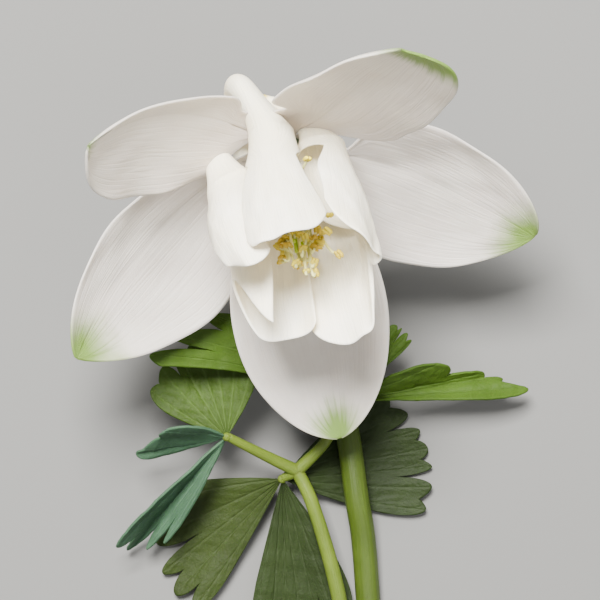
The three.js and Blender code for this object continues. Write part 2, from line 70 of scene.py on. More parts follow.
SEPAL_FOOT = (2.4, -2.5)  # a sepal's foot: its distance from the axis and place along it
CLAW_END = 0.3  # the share of its length that a sepal's claw can take
SEPAL_RELIEF = dict(fold=0.24, edge=0.22, ridge=0.16)  # how high these stand
SEPAL_GRID = dict(claw=30, blade=92, across=73)
SEPAL_REACH = 0.6992  # how much further its last row lies, just short of its tip

# Each sepal has its azimuth and how far that sways; its length and its foot's shift; each half's
# width, cup and the two powers of its outline; lift and roll at foot and tip; for each half how
# far out the claw starts to open and over what length, and the width that it holds; and its green
# tip, as white_material takes it.
SEPAL_KIND = dict(claw=((4.0, 2.8), (4.0, 2.8)), hold=(0.9, 0.9))
SEPALS = {
    "sepal_upper_left": dict(
        azimuth=126.1, length=26.8, half=(3.85, 9.06), lift=(2.7, 52.1), sway=19.5,
        foot=0.11, cup=(46.1, 19.6), roll=(19, 14.4), shape=((0.15, 0.95), (0.48, 0.4)),
        claw=((2.6, 5.2), (0.25, 3.8)), hold=(2.2, 1.2), green=(0.25, 0.2, 0.86, 0.97, 0.9),
    ),
    "sepal_upper_right": dict(
        azimuth=49.6, length=23.7, half=(8.28, 7.92), lift=(16, 28.9), sway=17.8,
        foot=0.08, cup=(8.2, 41.6), roll=(-5.6, -9.2), shape=((0.18, 0.21), (0.29, 0.47)),
        claw=((0.95, 5.6), (0.85, 8.4)), hold=(1.2, 4.8),
        green=(0.1, 0.12, 0.83, 0.94, 0.95),
    ),
    "sepal_right": dict(
        azimuth=-24.5, length=26.33, half=(9.87, 7.21), lift=(0, 29.8), sway=-9,
        foot=-0.8, cup=(25, 25), roll=(-15.9, 0.8), shape=((0.75, 0.69), (0.53, 0.54)),
        green=(0.5, 0.12, 0.8, 0.95, 0.95),
    ),
    "sepal_left": dict(
        azimuth=203.5, length=28.87, half=(5.84, 11.01), lift=(2, 56.5), sway=5.7,
        foot=-1.05, cup=(30, 23), roll=(7.4, 9.1), shape=((0.68, 0.69), (0.72, 0.71)),
        green=(0.5, 0.12, 0.78, 0.94, 0.95),
    ),
    "sepal_bottom": dict(
        azimuth=-90, length=30.17, half=(8.6, 7.95), lift=(17.8, 47.8), sway=4.3,
        foot=0.1, cup=(24, 21), roll=(-9.6, 3.5), shape=((0.7, 0.59), (0.7, 0.62)),
        green=(0.5, 0.2, 0.82, 0.94, 0.95),
    ),
}

PETAL_RELIEF = dict(fold=0.18, frill=0.17, edge=0.1)  # how high these stand
PETAL_GRID = dict(spur=56, lamina=84, across=96)

# Each petal has its azimuth at throat and rim; the throat's distance, height and radius; the
# spur's length, hook, splay and sway, its straight share, its cone's share, and its radius in the
# tube and at the tip; the lamina's height; the angle (half) and radius (arc) of its rows to both
# sides, the way by which they are reached (open, swell) and how much the angle closes towards the
# rim; its wall's distance and flare; how far the rim drops to both sides and how bluntly; a
# notch's place, width and depth; and the spur's yellow tip, as white_material takes it.
PETAL_KIND = dict(
    throat=(5.1, 0, 2.3), length=13, hook=150, straight=0.42, splay=14, tube=1.35, tip=0.62,
    sway=0, lamina=17, half=(60, 60), arc=(4.6, 4.6), wall=8, flare=0.4, drop=(0.15, 0.15),
    blunt=2.6, open=(0.34, 0.34), swell=(0.55, 0.55), close=(0, 0), notch=(0, 0.13, 0), cone=0.42,
    yellow=(0.5, 0.0, 2.0, 3.0, 0.0),
)
PETALS = {
    "petal_front": dict(
        azimuth=(98, 100), sway=4.3, length=11.6, tip=0.85, cone=0.55, lamina=15.3,
        half=(57, 44.5), arc=(5.3, 5.4), wall=7.9, flare=-0.1, drop=(0.14, 0.05),
        swell=(1.1, 0.7),
    ),
    "petal_right": dict(
        azimuth=(20, 14), throat=(4.15, 0, 2.55), splay=-2, hook=72, length=7.7, sway=4.4,
        straight=0.15, tip=0.5, lamina=14.5, half=(52, 57), arc=(4.6, 6.4), wall=7.7, flare=0,
        drop=(0.12, 0.2), open=(0.7, 0.12), yellow=(0.5, 0.0, -0.86, -0.92, 0.95),
    ),
    "petal_lower_right": dict(
        azimuth=(-56, -54), hook=85, length=10.4, half=(50, 50), arc=(6.6, 4.8), wall=8.1,
        lamina=17.6, open=(0.2, 0.2), drop=(0.15, 0.42),
    ),
    "petal_lower_left": dict(
        azimuth=(-126, -128), hook=85, length=12, half=(160, 97), arc=(3.4, 4.34), wall=9.2,
        flare=0.2, lamina=15.17, drop=(-0.31, -0.064), close=(15.4, 0), open=(0.27, 0.27),
        notch=(-0.473, 0.35, 0.376),
    ),
    "petal_left": dict(
        azimuth=(164, 156), throat=(5.6, 3, 2.6), sway=1.2, hook=135, half=(92, 48),
        arc=(3.2, 5.4), wall=8.75, lamina=10.7, flare=-1.2, drop=(0, 0.8), blunt=1.6,
        notch=(-0.6, 0.5, -0.22),
    ),
}

STEM_RADIUS, CROOK_RADIUS = 1.35, 1.15
RECEPTACLE = (1.85, 3.4)  # the swelling's radius, and how far behind the heart its middle is
SKIN_SHARE = dict(stem=0.975, stalk=0.97)  # a skin's radius as a share of its solid's
STEM_STEPS, STALK_STEPS, BRANCH_STEPS = 300, 110, 30
STEM_FLUTES = dict(count=7, depth=0.012)
STEM_PATH = [
    (9.2, -59.2, 1.4), (8.6, -53.5, 1.42), (8.1, -46, 1.45), (7.3, -32.2, 1.4), (6.7, -25, 2.3),
    (6.1, -21.4, 3.1), (5.2, -15, 3.15), (4.4, -10.9, 2.5), (2.6, -3, 1.42), (0.6, 4, 1.32),
]
CROOK = dict(middle=(9.8, 13.1), radius=(9, 11.75), end=140, shift=(-0.2, -2.1))
STALK_RADIUS = (0.95, 0.72, 0.46)  # at the cut end, at the fork and at a leaflet's knot
STALK_PATHS = [
    [(5.6, -47, 1.5), (5.2, -41, 2.3), (4.2, -32, 3.4), (1.2, -21.4, 4.4), (-0.3, -18.2, 4.5)],
    [(-0.3, -18.2, 4.5), (-3.1, -16.8, 5.6), (-7.6, -14.4, 8.4)],
    [(-0.3, -18.2, 4.5), (-1.8, -19, 3.9)],
    [(-0.3, -18.2, 4.5), (2.8, -14.9, 5.4), (4.8, -10.8, 6.1)],
]
KNOT_RADIUS, FORK_RADIUS = 0.48, 0.7344  # the balls where leaflets and branches meet
LEFT_KNOT, MIDDLE_KNOT, RIGHT_KNOT = (-7.7, -14.4, 8.5), (-1.9, -19.1, 3.8), (4.8, -10.7, 6.2)

# where a leaflet's lobes meet, across its fan from -1 to 1, and how deep each cleft is
CLEFTS = [
    (-1, 0.26), (-0.7, 0.07), (-0.36, 0.24), (-0.13, 0.07),
    (0.15, 0.06), (0.38, 0.22), (0.7, 0.07), (1, 0.26),
]
# Each leaflet has its knot; its azimuth, and its sweep along it; its roll about its midline; its
# slope by the distance and by its square; its length, and its skew, by which one side is longer;
# for both halves the spread in degrees, the bow by which it is wider near the knot, and the angle
# of the fold; the height of its wave; its own clefts, where it doesn't have the usual ones; and
# the setting that gives its colour and how much of their own its veins take.
LEAFLET_KIND = dict(roll=0, sweep=0, skew=0, cuts=CLEFTS, shade="leaf_bright_painted_light", veins=0.22)
LEAFLETS = {
    "leaflet_left_fan": dict(
        shade="leaf_middle", veins=0.45,
        knot=LEFT_KNOT, azimuth=109, slope=(-0.12, 0), length=10.6, spread=(44, 46),
        bow=(0.25, 0.25), fold=(10, 10), skew=-0.06, wave=0.3,
    ),
    "leaflet_left_edge": dict(
        shade="leaf_blue", knot=LEFT_KNOT, azimuth=188, roll=-56, slope=(-0.1, 0), length=9.2,
        spread=(46, 13), bow=(0.4, 0.2), fold=(10, 10), skew=0.22, wave=0.12,
        cuts=((-1, 0.45), (-0.35, 0.16), (1, 0.3)),
    ),
    "leaflet_left_low": dict(
        shade="leaf_blue", knot=LEFT_KNOT, azimuth=230, roll=-14, slope=(-0.36, -0.005), length=16.4,
        spread=(24, 18), bow=(0.1, 0.4), fold=(60, 64), skew=-0.15, wave=0.2,
        cuts=((-1, 0.25), (-0.35, 0.2), (0.2, 0.3), (0.65, 0.34), (1, 0.6)),
    ),
    # the middle leaflets' colours carry painted shade from the flower above them
    "leaflet_middle_left": dict(
        shade="leaf_olive_painted_shade", knot=MIDDLE_KNOT, azimuth=213, slope=(-0.35, 0.0095), length=16,
        spread=(28, 28), bow=(0.3, 0.1), fold=(8, 8), skew=0.18, wave=0.25,
        cuts=((-1, 0.3), (-0.5, 0.1), (0.03, 0.34), (0.36, 0.14), (0.68, 0.17), (1, 0.3)),
    ),
    "leaflet_middle_low": dict(
        shade="leaf_deep_painted_shade", knot=MIDDLE_KNOT, azimuth=277, slope=(-0.3, 0.006), length=17,
        spread=(21, 24), bow=(0.05, 0.35), fold=(8, 8), wave=0.25,
    ),
    "leaflet_middle_right": dict(
        shade="leaf_deep_painted_shade", knot=MIDDLE_KNOT, azimuth=11, slope=(-0.55, 0.0226), length=16,
        spread=(28, 30), bow=(0.35, 0.35), fold=(4, 4), skew=-0.06, wave=0.1,
    ),
    # the right leaflets take the default bright yellow-green, which carries painted light
    "leaflet_right_long": dict(
        knot=RIGHT_KNOT, azimuth=9.5, roll=22, slope=(-0.1, -0.006), length=15.6,
        spread=(12, 36), bow=(0, -0.15), fold=(60, 32), skew=-0.46, wave=0.15,
        cuts=((-1, 0.35), (-0.3, 0.05), (-0.05, 0.07), (0.2, 0.24), (1, 0.5)),
    ),
    "leaflet_right_upper": dict(
        knot=RIGHT_KNOT, azimuth=56, roll=4, slope=(0.05, 0), length=9.7,
        spread=(16, 28), bow=(0, 0.3), fold=(12, 12), skew=-0.05, wave=0.25,
    ),
    "leaflet_right_under": dict(
        knot=RIGHT_KNOT, azimuth=146, slope=(0.3, 0), length=19.2, spread=(20, 10),
        bow=(0.2, 0.2), sweep=13, fold=(12, 12), skew=0.2, wave=0.15,
        cuts=((-1, 0.2), (-0.74, 0.14), (-0.3, 0.18), (0.3, 0.3), (1, 0.08)),
    ),
}

# a leaflet's patches are its own colour times a factor, and its veins that and a little more
LEAF_DARK, LEAF_PALE = 0.75, (1.7, 0.02)
LEAF_START = 0.35  # how near its knot a leaflet starts
LEAF_GRID = dict(along=64, across=126)
LEAF_PUFF, LEAF_VEIN = 0.1, 0.06  # how proud a leaflet's fields stand, and how deep a vein is
UNEVEN = np.array([(0.8, 0.6, 0.3), (-0.6, 0.8, 0.3)])  # the ways a leaflet's unevenness runs

ANTHER = (0.23, 1.0)  # radius and length of each of an anther's two pods
# the stamens that show: head aside, up and along the mouth, the way its anther lies, and its tone
SHOWN_STAMENS = (
    (-1.4, 1.5, 10.9, 100, 1.0), (-1.7, 0.7, 11.7, 60, 0.95), (-0.9, 2.2, 11.6, 20, 0.9),
    (-0.5, 0.2, 12.3, 200, 0.7), (0.4, 1.7, 11.9, 160, 0.65), (1.3, -0.3, 12.2, 240, 0.75),
    (1.2, -1.0, 12.9, 280, 0.8), (1.6, 0.9, 11.3, 330, 0.95), (0.4, -0.4, 13.0, 90, 0.45),
    (2.6, 0.5, 9.2, 30, 0.7), (3.1, 0.3, 9.0, 320, 0.6), (3.8, -0.5, 11.5, 300, 0.85),
    (3.6, 1.0, 7.6, 80, 0.5), (2.4, 5.2, 3.6, 60, 0.5),
)
# the others: the seed of their draw, and between what their heads' distance and height lie
HIDDEN_STAMENS = dict(seed=8, spread=(1.3, 2.5), height=(8.6, 11.6))
# the collar's height and radius at its foot and rim, and its ribs' number and radius
COLLAR = dict(low=0.9, top=3.2, foot=1.5, rim=1.85, ribs=14, rib=0.42)
# a carpel's distance from the axis and its radius, by the way up it
CARPEL = dict(
    count=5, low=0.9, top=10.6,
    reach=((0, 0.34), (0.3, 0.42), (0.62, 0.4), (0.8, 0.42), (0.9, 0.55), (1, 0.85)),
    radius=((0, 0.3), (0.1, 0.44), (0.4, 0.5), (0.65, 0.42), (0.8, 0.26), (1, 0.17)),
)

# how far a white sheet's patches, foot and veins go towards their own colour
SHEET = dict(patches=0.55, foot=0.5, veins=0.1)
DEPTHS = dict(sheet=0.032, leaf=0.06, stalk=0.03, marked=0.08)  # each finish's fine relief

# the table's half side, and each light's name, place, size and colour, in metres
TABLE_HALF = 1.5
LIGHTS = (
    ("key", (-0.06, 0.2, 0.42), 0.16, (1.0, 0.985, 0.96)),
    ("fill", (0.16, -0.2, 0.4), 0.4, (0.95, 0.97, 1.0)),
)
LIT_SPOT = (0.0, 0.015, 0.015)
ROOM = dict(colour=(1.0, 0.98, 0.95, 1), strength=0.6)
CAMERA = dict(height=0.324, lens=180, sensor=36, near=0.01)  # lens and sensor in millimetres


def linear(code):
    """A linear colour from the six digits of a screen colour."""
    screen = [int(code[k : k + 2], 16) / 255 for k in (0, 2, 4)]
    return tuple(c / 12.92 if c < 0.04045 else ((c + 0.055) / 1.055) ** 2.4 for c in screen)


# ------------------------------------------------------------------------------ arithmetic
def smooth(x):
    """0 below 0, 1 above 1, and 3 x squared less 2 x cubed between."""
    t = np.clip(x, 0, 1)
    return t * t * (3 - 2 * t)


def mix(a, b, t):
    """From a at 0 to b at 1."""
    return a + (b - a) * t


def unit(v):
    """Vectors of length 1."""
    return v / np.maximum(np.linalg.norm(v, axis=-1, keepdims=True), 1e-9)


def turned(a, b, angle):
    """Vector a turned towards vector b, which is square to it."""
    angle = np.asarray(angle)[..., None]
    return a * np.cos(angle) + b * np.sin(angle)


def outward(azimuth):
    """The direction out from the flower's axis at an azimuth."""
    return turned(ASIDE, RISE, azimuth)


def around(azimuth):
    """The direction round the flower's axis at an azimuth."""
    return turned(RISE, -ASIDE, azimuth)


def pick(pair, q):
    """The first value where q is under 0, and the second elsewhere."""
    return np.where(q < 0, pair[0], pair[1])


def ripples(a, b, seed, count=5):
    """A soft unevenness from -1 to 1: the mean of a few crossed waves of different length."""
    draw = np.random.default_rng(seed)
    total = 0
    for size in range(1, count + 1):
        one, two = draw.uniform(0.6, 1.4, 2) * size
        wave = np.sin(one * a + draw.uniform(0, 6)) * np.sin(two * b + draw.uniform(0, 6))
        total = total + wave / size
    return total / 1.6


def distances(path):
    """How far along a path each of its points is."""
    return np.concatenate([[0], np.cumsum(np.linalg.norm(np.diff(path, axis=0), axis=1))])


def read(at, marks, points):
    """Points between others, by the marks of those."""
    return np.stack([np.interp(at, marks, points[:, k]) for k in range(3)], -1)


def cells(rows, columns):
    """The rows and the columns of each grid cell's four corners, in order round it."""
    i, j = (k.reshape(-1, 1) for k in np.mgrid[: rows - 1, : columns - 1])
    return i + np.array([0, 1, 1, 0]), j + np.array([0, 0, 1, 1])


def fan(hub, ring):
    """Faces from a hub to each side of a closed ring."""
    return np.stack([np.full(len(ring), hub), ring, np.roll(ring, -1)], -1)


# ------------------------------------------------------------------------------ mesh making
class Form:
    """Points in millimetres, faces, and each face corner's place on its surface, for one mesh."""

    def __init__(self):
        self.points, self.faces, self.places, self.marks, self.count = [], [], [], [], 0

    def add_points(self, points, mark=None):
        """Adds points with their marks, and gives the first one's number."""
        points = np.asarray(points, float).reshape(-1, 3)
        start = self.count
        self.points.append(points)
        self.marks.append(np.zeros(len(points)) if mark is None else np.ravel(mark))
        self.count += len(points)
        return start

    def add_faces(self, faces, places):
        """Adds faces with their corners' places."""
        self.faces.append(np.asarray(faces))
        self.places.append(np.asarray(places, float))

    def blade(self, centre, thickness, along, across, mark=None, normal=None):
        """A closed sheet: the middle surface moved half its thickness to both sides along the
        normal, thinner towards the margin, with a rim that joins the two faces."""
        rows, columns = centre.shape[:2]
        if normal is None:
            down, over = np.gradient(centre, axis=0), np.gradient(centre, axis=1)
            normal = unit(np.cross(down, over))
        fall = np.linalg.norm(np.diff(centre, axis=0), axis=-1)
        step = np.linalg.norm(np.diff(centre, axis=1), axis=-1)
        to_end = np.vstack([np.cumsum(fall[::-1], 0)[::-1], np.zeros((1, columns))])
        nil = np.zeros((rows, 1))
        to_left = np.hstack([nil, np.cumsum(step, 1)])
        to_right = np.hstack([np.cumsum(step[:, ::-1], 1)[:, ::-1], nil])
        margin = np.minimum(to_end, np.minimum(to_left, to_right))
        thin = 1 - (1 - np.clip(margin / BLADE_MARGIN, 0, 1)) ** 2
        half = (0.5 * thickness * mix(EDGE_SHARE, 1, np.sqrt(thin)))[..., None]
        marks = None if mark is None else np.concatenate([np.ravel(mark)] * 2)
        start = self.add_points(np.stack([centre + normal * half, centre - normal * half]), marks)
        ci, cj = cells(rows, columns)
        top = start + ci * columns + cj
        spots = np.stack([across[cj], along[ci]], -1)
        below = rows * columns
        self.add_faces(top, spots)
        self.add_faces((top + below)[:, ::-1], spots[:, ::-1])
        i, j = np.arange(rows - 1), np.arange(columns - 1)
        ei = np.concatenate([i, 0 * j + rows - 1, i[::-1] + 1, 0 * j])
        ej = np.concatenate([0 * i, j, 0 * i + columns - 1, j[::-1] + 1])
        a = start + ei * columns + ej
        b = np.roll(a, -1)
        here = np.stack([across[ej], along[ei]], -1)
        after = np.roll(here, -1, 0)
        self.add_faces(
            np.stack([b, a, a + below, b + below], -1), np.stack([after, here, here, after], 1)
        )

    def tube(self, path, radius, sides, toward=(1, 0, 0), flutes=None, mark=None):
        """A closed tube: round each point of a path a ring square to the path, at the radius
        there, with its ends closed by fans."""
        path = np.asarray(path, float)
        count = len(path)
        tangent = unit(np.gradient(path, axis=0))
        toward = np.asarray(toward, float)
        side = unit(toward - (tangent @ toward)[:, None] * tangent)
        rest = np.cross(tangent, side)
        theta = np.linspace(0, 2 * np.pi, sides, endpoint=False)
        radius = np.broadcast_to(np.asarray(radius, float), (count,))[:, None]
        wide = radius * (1 if flutes is None else 1 + flutes(theta)[None, :])
        turn = theta[None, :, None]
        ring = np.cos(turn) * side[:, None] + np.sin(turn) * rest[:, None]
        marks = None if mark is None else np.repeat(np.broadcast_to(mark, (count,)), sides)
        start = self.add_points(path[:, None] + ring * wide[..., None], marks)
        ci, cj = (np.roll(k[:, ::-1], 1, axis=1) for k in cells(count, sides + 1))
        length = distances(path)
        self.add_faces(
            start + ci * sides + cj % sides, np.stack([cj / sides, length[ci] / length[-1]], -1)
        )
        for end, row, flip in ((path[0], 0, True), (path[-1], count - 1, False)):
            level = 0 if mark is None else np.broadcast_to(mark, (count,))[row]
            cap = fan(self.add_points(end, [level]), start + row * sides + np.arange(sides))
            self.add_faces(cap[:, ::-1] if flip else cap, np.zeros((sides, 3, 2)))

    def make(self, name, material):
        """The mesh object, at the origin, its place in its points."""
        points = (np.concatenate(self.points) - MIDDLE) * MM
        corners = np.concatenate([f.ravel() for f in self.faces])
        sizes = np.concatenate([np.full(len(f), f.shape[1]) for f in self.faces])
        used, corners = np.unique(corners, return_inverse=True)
        mesh = bpy.data.meshes.new(name)
        mesh.vertices.add(len(used))
        mesh.vertices.foreach_set("co", points[used].astype(np.float32).ravel())
        mesh.loops.add(len(corners))
        mesh.loops.foreach_set("vertex_index", corners.astype(np.int32).ravel())
        mesh.polygons.add(len(sizes))
        starts = np.concatenate([[0], np.cumsum(sizes)[:-1]])
        mesh.polygons.foreach_set("loop_start", starts.astype(np.int32))
        mesh.polygons.foreach_set("use_smooth", np.ones(len(sizes), bool))
        mesh.update(calc_edges=True)
        layer = mesh.uv_layers.new(name="UVMap")
        places = np.concatenate([p.reshape(-1, 2) for p in self.places])
        layer.data.foreach_set("uv", places.astype(np.float32).ravel())
        marks = mesh.attributes.new("mark", "FLOAT", "POINT")
        marks.data.foreach_set("value", np.concatenate(self.marks)[used].astype(np.float32))
        mesh.validate()
        mesh.materials.append(material)
        piece = bpy.data.objects.new(name, mesh)
        bpy.context.scene.collection.objects.link(piece)
        return piece


def dress(form, material, node, name=None):
    """The form's piece rides on the sprig, stands for its node and has its finish in a slot."""
    piece = form.make(name or f"{node}_skin", material)
    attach(piece, "root")
    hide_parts(node)


def smooth_path(points, count):
    """A Catmull-Rom curve whose end slopes are weighted by the square roots of the chords, cut
    into equal lengths."""
    p = np.asarray(points, float)
    p = np.vstack([2 * p[0] - p[1], p, 2 * p[-1] - p[-2]])
    step = np.sqrt(np.linalg.norm(np.diff(p, axis=0), axis=1))[:, None]
    d = np.diff(p, axis=0)
    d0, d1, d2 = step[:-2], step[1:-1], step[2:]
    from_slope = (d[:-2] / d0 - (p[2:-1] - p[:-3]) / (d0 + d1) + d[1:-1] / d1) * d1
    to_slope = (d[1:-1] / d1 - (p[3:] - p[1:-2]) / (d1 + d2) + d[2:] / d2) * d1
    t = np.linspace(0, 1, 40)[None, :, None]
    a, b = p[1:-2][:, None], p[2:-1][:, None]
    m, n = from_slope[:, None], to_slope[:, None]
    dense = (
        (2 * t**3 - 3 * t**2 + 1) * a + (t**3 - 2 * t**2 + t) * m
        + (3 * t**2 - 2 * t**3) * b + (t**3 - t**2) * n
    ).reshape(-1, 3)
    length = distances(dense)
    return read(np.linspace(0, length[-1], count + 1), length, dense)


# ------------------------------------------------------------------------------ flower forms
def sepal_surface(p, along, across, seed):
    """The midrib runs out from the foot while its lift and azimuth change steadily. Across it
    each half is an arc, as wide as s to a power times one less s to another, where s is the way
    along. Near the foot it opens from a claw that holds its own width. The whole sheet carries
    soft ripples, a waved edge and a faint ridge down its midrib."""
    fine = 400
    s = (np.arange(fine) + 0.5) / fine
    out = outward(np.radians(p["azimuth"] + p["sway"] * s))
    run = turned(out, MOUTH, np.radians(mix(*p["lift"], s))) * p["length"] / fine
    foot = HEART + outward(math.radians(p["azimuth"])) * SEPAL_FOOT[0]
    foot = foot + MOUTH * (SEPAL_FOOT[1] + p["foot"])
    midrib = np.vstack([foot, foot + np.cumsum(run, 0)])
    rib = read(along * fine, np.arange(fine + 1), midrib)
    azimuth = np.radians(p["azimuth"] + p["sway"] * along)
    out, over = outward(azimuth), around(azimuth)
    lift = np.radians(mix(*p["lift"], along))
    roll = np.radians(mix(*p["roll"], along))
    up = turned(np.broadcast_to(MOUTH, out.shape), -out, lift)
    side, inward = turned(over, up, roll), turned(up, -over, roll)
    q = across[None, :]
    s = along[:, None]
    (start0, span0), (start1, span1) = p["claw"]
    opened = smooth((s * p["length"] - pick((start0, start1), q)) / pick((span0, span1), q))
    hold = pick(p["hold"], q) * mix(0.6, 1, smooth(s / 0.12))
    claw = np.where(s < CLAW_END, hold * np.sqrt(1 - s), 0)
    (a0, b0), (a1, b1) = p["shape"]
    a, b = pick((a0, a1), q), pick((b0, b1), q)
    peak = (a / (a + b)) ** a * (b / (a + b)) ** b
    half = np.maximum(pick(p["half"], q) * opened * s**a * (1 - s) ** b / peak, claw)
    cup = np.radians(pick(p["cup"], q)) * mix(0.25, 1, smooth(s / 0.4))
    flat = (half * np.sin(cup * q) / cup)[..., None] * side[:, None]
    rise = half * (1 - np.cos(cup * q)) / cup
    wide = np.clip(half / 6, 0, 1)
    fold = SEPAL_RELIEF["fold"] * ripples(q * 2.2, s * 5, seed) * wide
    wave = np.sin(s * 17 + seed + 1.5 * np.sign(q))
    edge = SEPAL_RELIEF["edge"] * np.abs(q) ** 5 * wave * wide
    sharp = np.exp(-((q / 0.05) ** 2)) * np.clip(half / 3, 0, 1)
    ridge = -SEPAL_RELIEF["ridge"] * sharp * (1 - s)
    return rib[:, None] + flat + (rise + fold + edge + ridge)[..., None] * inward[:, None]


def sepal_form(p, thickness, seed):
    """A sepal is a blade, with close rows at its claw and at its tip."""
    claw = np.linspace(0, CLAW_END, SEPAL_GRID["claw"])[:-1]
    to_tip = np.sin(np.linspace(0, np.pi / 2, SEPAL_GRID["blade"]))
    along = np.concatenate([claw, CLAW_END + SEPAL_REACH * to_tip])
    across = np.linspace(-1, 1, SEPAL_GRID["across"])
    form = Form()
    centre = sepal_surface(p, along, across, seed)
    form.blade(centre, thickness, along, (across + 1) / 2)
    return form


def spur_line(p):
    """The spur's centre line runs back from the throat, straight and then hooked towards the
    axis: the running sums of the sine and cosine of its angle."""
    steps = 400
    s = np.arange(steps + 1) / steps
    bend = np.maximum(0, (s - p["straight"]) / (1 - p["straight"]))
    angle = np.radians(p["splay"] - p["hook"] * bend)
    wide = (p["throat"][2] - p["tube"]) * (1 - np.minimum(s / p["cone"], 1)) ** 2
    radius = p["tube"] + wide + (p["tip"] - p["tube"]) * smooth((s - 0.55) / 0.35)
    end = np.sqrt(np.maximum(0, 1 - np.maximum(0, (s - 0.95) / 0.05) ** 2))
    step = p["length"] / steps
    r = p["throat"][0] + np.concatenate([[0], np.cumsum(np.sin(angle)[:-1])]) * step
    h = p["throat"][1] - np.concatenate([[0], np.cumsum(np.cos(angle)[:-1])]) * step
    return s, r, h, p["sway"] * s**1.3, angle, radius * end


def spur_rings(p, spur, across, inset):
    """A ring at each place of the spur, square to its centre line, with three faint flutes near
    the throat."""
    s, *lines = spur_line(p)
    r, h, sway, angle, radius = (np.interp(spur, s, line) for line in lines)
    start = math.radians(p["azimuth"][0])
    out, round_axis = outward(start), around(start)
    centre = HEART + r[:, None] * out + h[:, None] * MOUTH + sway[:, None] * round_axis
    lies = turned(out, MOUTH, angle)
    theta = np.pi * across
    turn = np.cos(theta)[None, :, None] * lies[:, None] + np.sin(theta)[None, :, None] * round_axis
    flutes = 0.05 * np.cos(3 * theta)[None, :] * smooth((0.8 - spur) / 0.5)[:, None]
    deep = np.maximum(radius[:, None] * (1 + flutes) - inset, 0.01)
    return centre[:, None] + turn * deep[..., None]


def lamina_rows(p, lamina, across, inset, seed):
    """A row at each place x of the lamina from the throat to the rim: an arc about a line parallel
    to the axis, which opens from a whole ring to a scoop. Its height grows with x, and with the
    square of x it falls short to both sides and at the notch."""
    x = lamina[:, None]
    q = across[None, :]
    distance, height, throat = p["throat"]
    azimuth = np.radians(mix(*p["azimuth"], smooth(lamina / 0.6)))
    out, round_axis = outward(azimuth)[:, None], around(azimuth)[:, None]
    base = distance + throat
    wall = base + (p["wall"] - distance - throat) * smooth(x / 0.6) + p["flare"] * x**5
    splay = math.radians(p["splay"]) * (1 - smooth(x / 0.3))
    half = np.radians(pick(p["half"], q) - pick(p["close"], q) * x**2)
    opening = mix(np.pi, half, smooth(x / pick(p["open"], q)))
    arc = mix(throat, pick(p["arc"], q), smooth(x / pick(p["swell"], q)))
    at, wide, deep = p["notch"]
    notch = deep * np.exp(-(((q - at) / wide) ** 2))
    drop = pick(p["drop"], q) * np.abs(q) ** p["blunt"] + 0.07 * q**10 + notch
    inner = arc - inset
    ease = smooth(x / 0.5)
    fold = PETAL_RELIEF["fold"] * ripples(q * 3, x * 4, seed) * ease
    frill = PETAL_RELIEF["frill"] * ease * x**4 * np.sin(q * 9 + seed)
    edge = PETAL_RELIEF["edge"] * ease * np.abs(q) ** 6 * np.sin(x * 12 + seed)
    lateral = inner * np.sin(opening * q)
    radial = wall - arc + (inner + fold + (frill + edge)) * np.cos(opening * q)
    level = height + p["lamina"] * x * (1 - drop * x) + np.sin(splay) * inner * np.cos(opening * q)
    from_axis = radial[..., None] * out + lateral[..., None] * round_axis
    return HEART + from_axis + level[..., None] * MOUTH


def petal_form(p, thickness, seed):
    """A petal is one skin: outside and inside run from the spur to the rim, where they join. The
    spur's rings are closed by a seam, and its far half is filled."""
    form = Form()
    closed, columns = PETAL_GRID["spur"], PETAL_GRID["across"]
    spur = 1 - (np.arange(closed) + 0.15) / (closed + 0.15)
    spur = 1 - (1 - spur) ** 1.15
    lamina = np.linspace(0, 1, PETAL_GRID["lamina"]) ** 0.92
    across = np.linspace(-1, 1, columns + 1)
    rows = closed + len(lamina)
    to_rim = np.concatenate([np.ones(closed), (1 - lamina) * p["lamina"] / PETAL_MARGIN])
    to_side = (1 - np.abs(across)) * 4 / PETAL_MARGIN
    slit = (np.arange(rows) > closed + 2)[:, None]
    margin = np.minimum(to_rim[:, None], np.where(slit, to_side[None, :], 1))
    thin = mix(EDGE_SHARE, 1, np.sqrt(1 - (1 - np.clip(margin, 0, 1)) ** 2))

    def skin(inset):
        """Its points, an inset inside the outer skin."""
        rings = spur_rings(p, spur, across, inset[:closed])
        return np.concatenate([rings, lamina_rows(p, lamina, across, inset[closed:], seed)])

    outer, inner = skin(thickness * (1 - thin) / 2), skin(thickness * (1 + thin) / 2)
    along = np.concatenate([-spur, lamina])
    ci, cj = cells(rows, columns + 1)

    def at(start, ci, cj):
        """The numbers of its points; the spur's last column is its first."""
        seam = (ci <= closed) & (cj == columns)
        return start + ci * (columns + 1) + np.where(seam, 0, cj)

    hollow = int(closed * 0.5)
    starts = [form.add_points(grid, np.repeat(along, columns + 1)) for grid in (outer, inner)]
    spots = np.stack([across[cj], along[ci]], -1)
    form.add_faces(at(starts[0], ci, cj)[:, ::-1], spots[:, ::-1])
    deep = ci[:, 0] >= hollow
    form.add_faces(at(starts[1], ci, cj)[deep], spots[deep])
    k = np.arange(columns)
    for start, row, flip in ((starts[0], 0, False), (starts[1], hollow, True)):
        grid = (outer, inner)[flip]
        hub = form.add_points(grid[row, :-1].mean(0), [along[row]])
        cap = fan(hub, at(start, np.full(columns, row), k))
        spot = np.stack([across[k], across[k], across[k + 1]], -1)
        spot = np.stack([spot, np.full(spot.shape, along[row])], -1)
        form.add_faces(cap if flip else cap[:, ::-1], spot)
    last = rows - 1
    up = np.arange(closed, last)
    ei = np.concatenate([up, np.full(columns, last), up[::-1] + 1])
    ej = np.concatenate([0 * up, k, 0 * up + columns])
    fi, fj = np.append(ei[1:], closed), np.append(ej[1:], columns)
    a, b = at(starts[0], ei, ej), at(starts[0], fi, fj)
    c, d = at(starts[1], fi, fj), at(starts[1], ei, ej)
    here = np.stack([across[ej], along[ei]], -1)
    after = np.stack([across[fj], along[fi]], -1)
    form.add_faces(np.stack([a, b, c, d], -1), np.stack([here, after, after, here], 1))
    return form


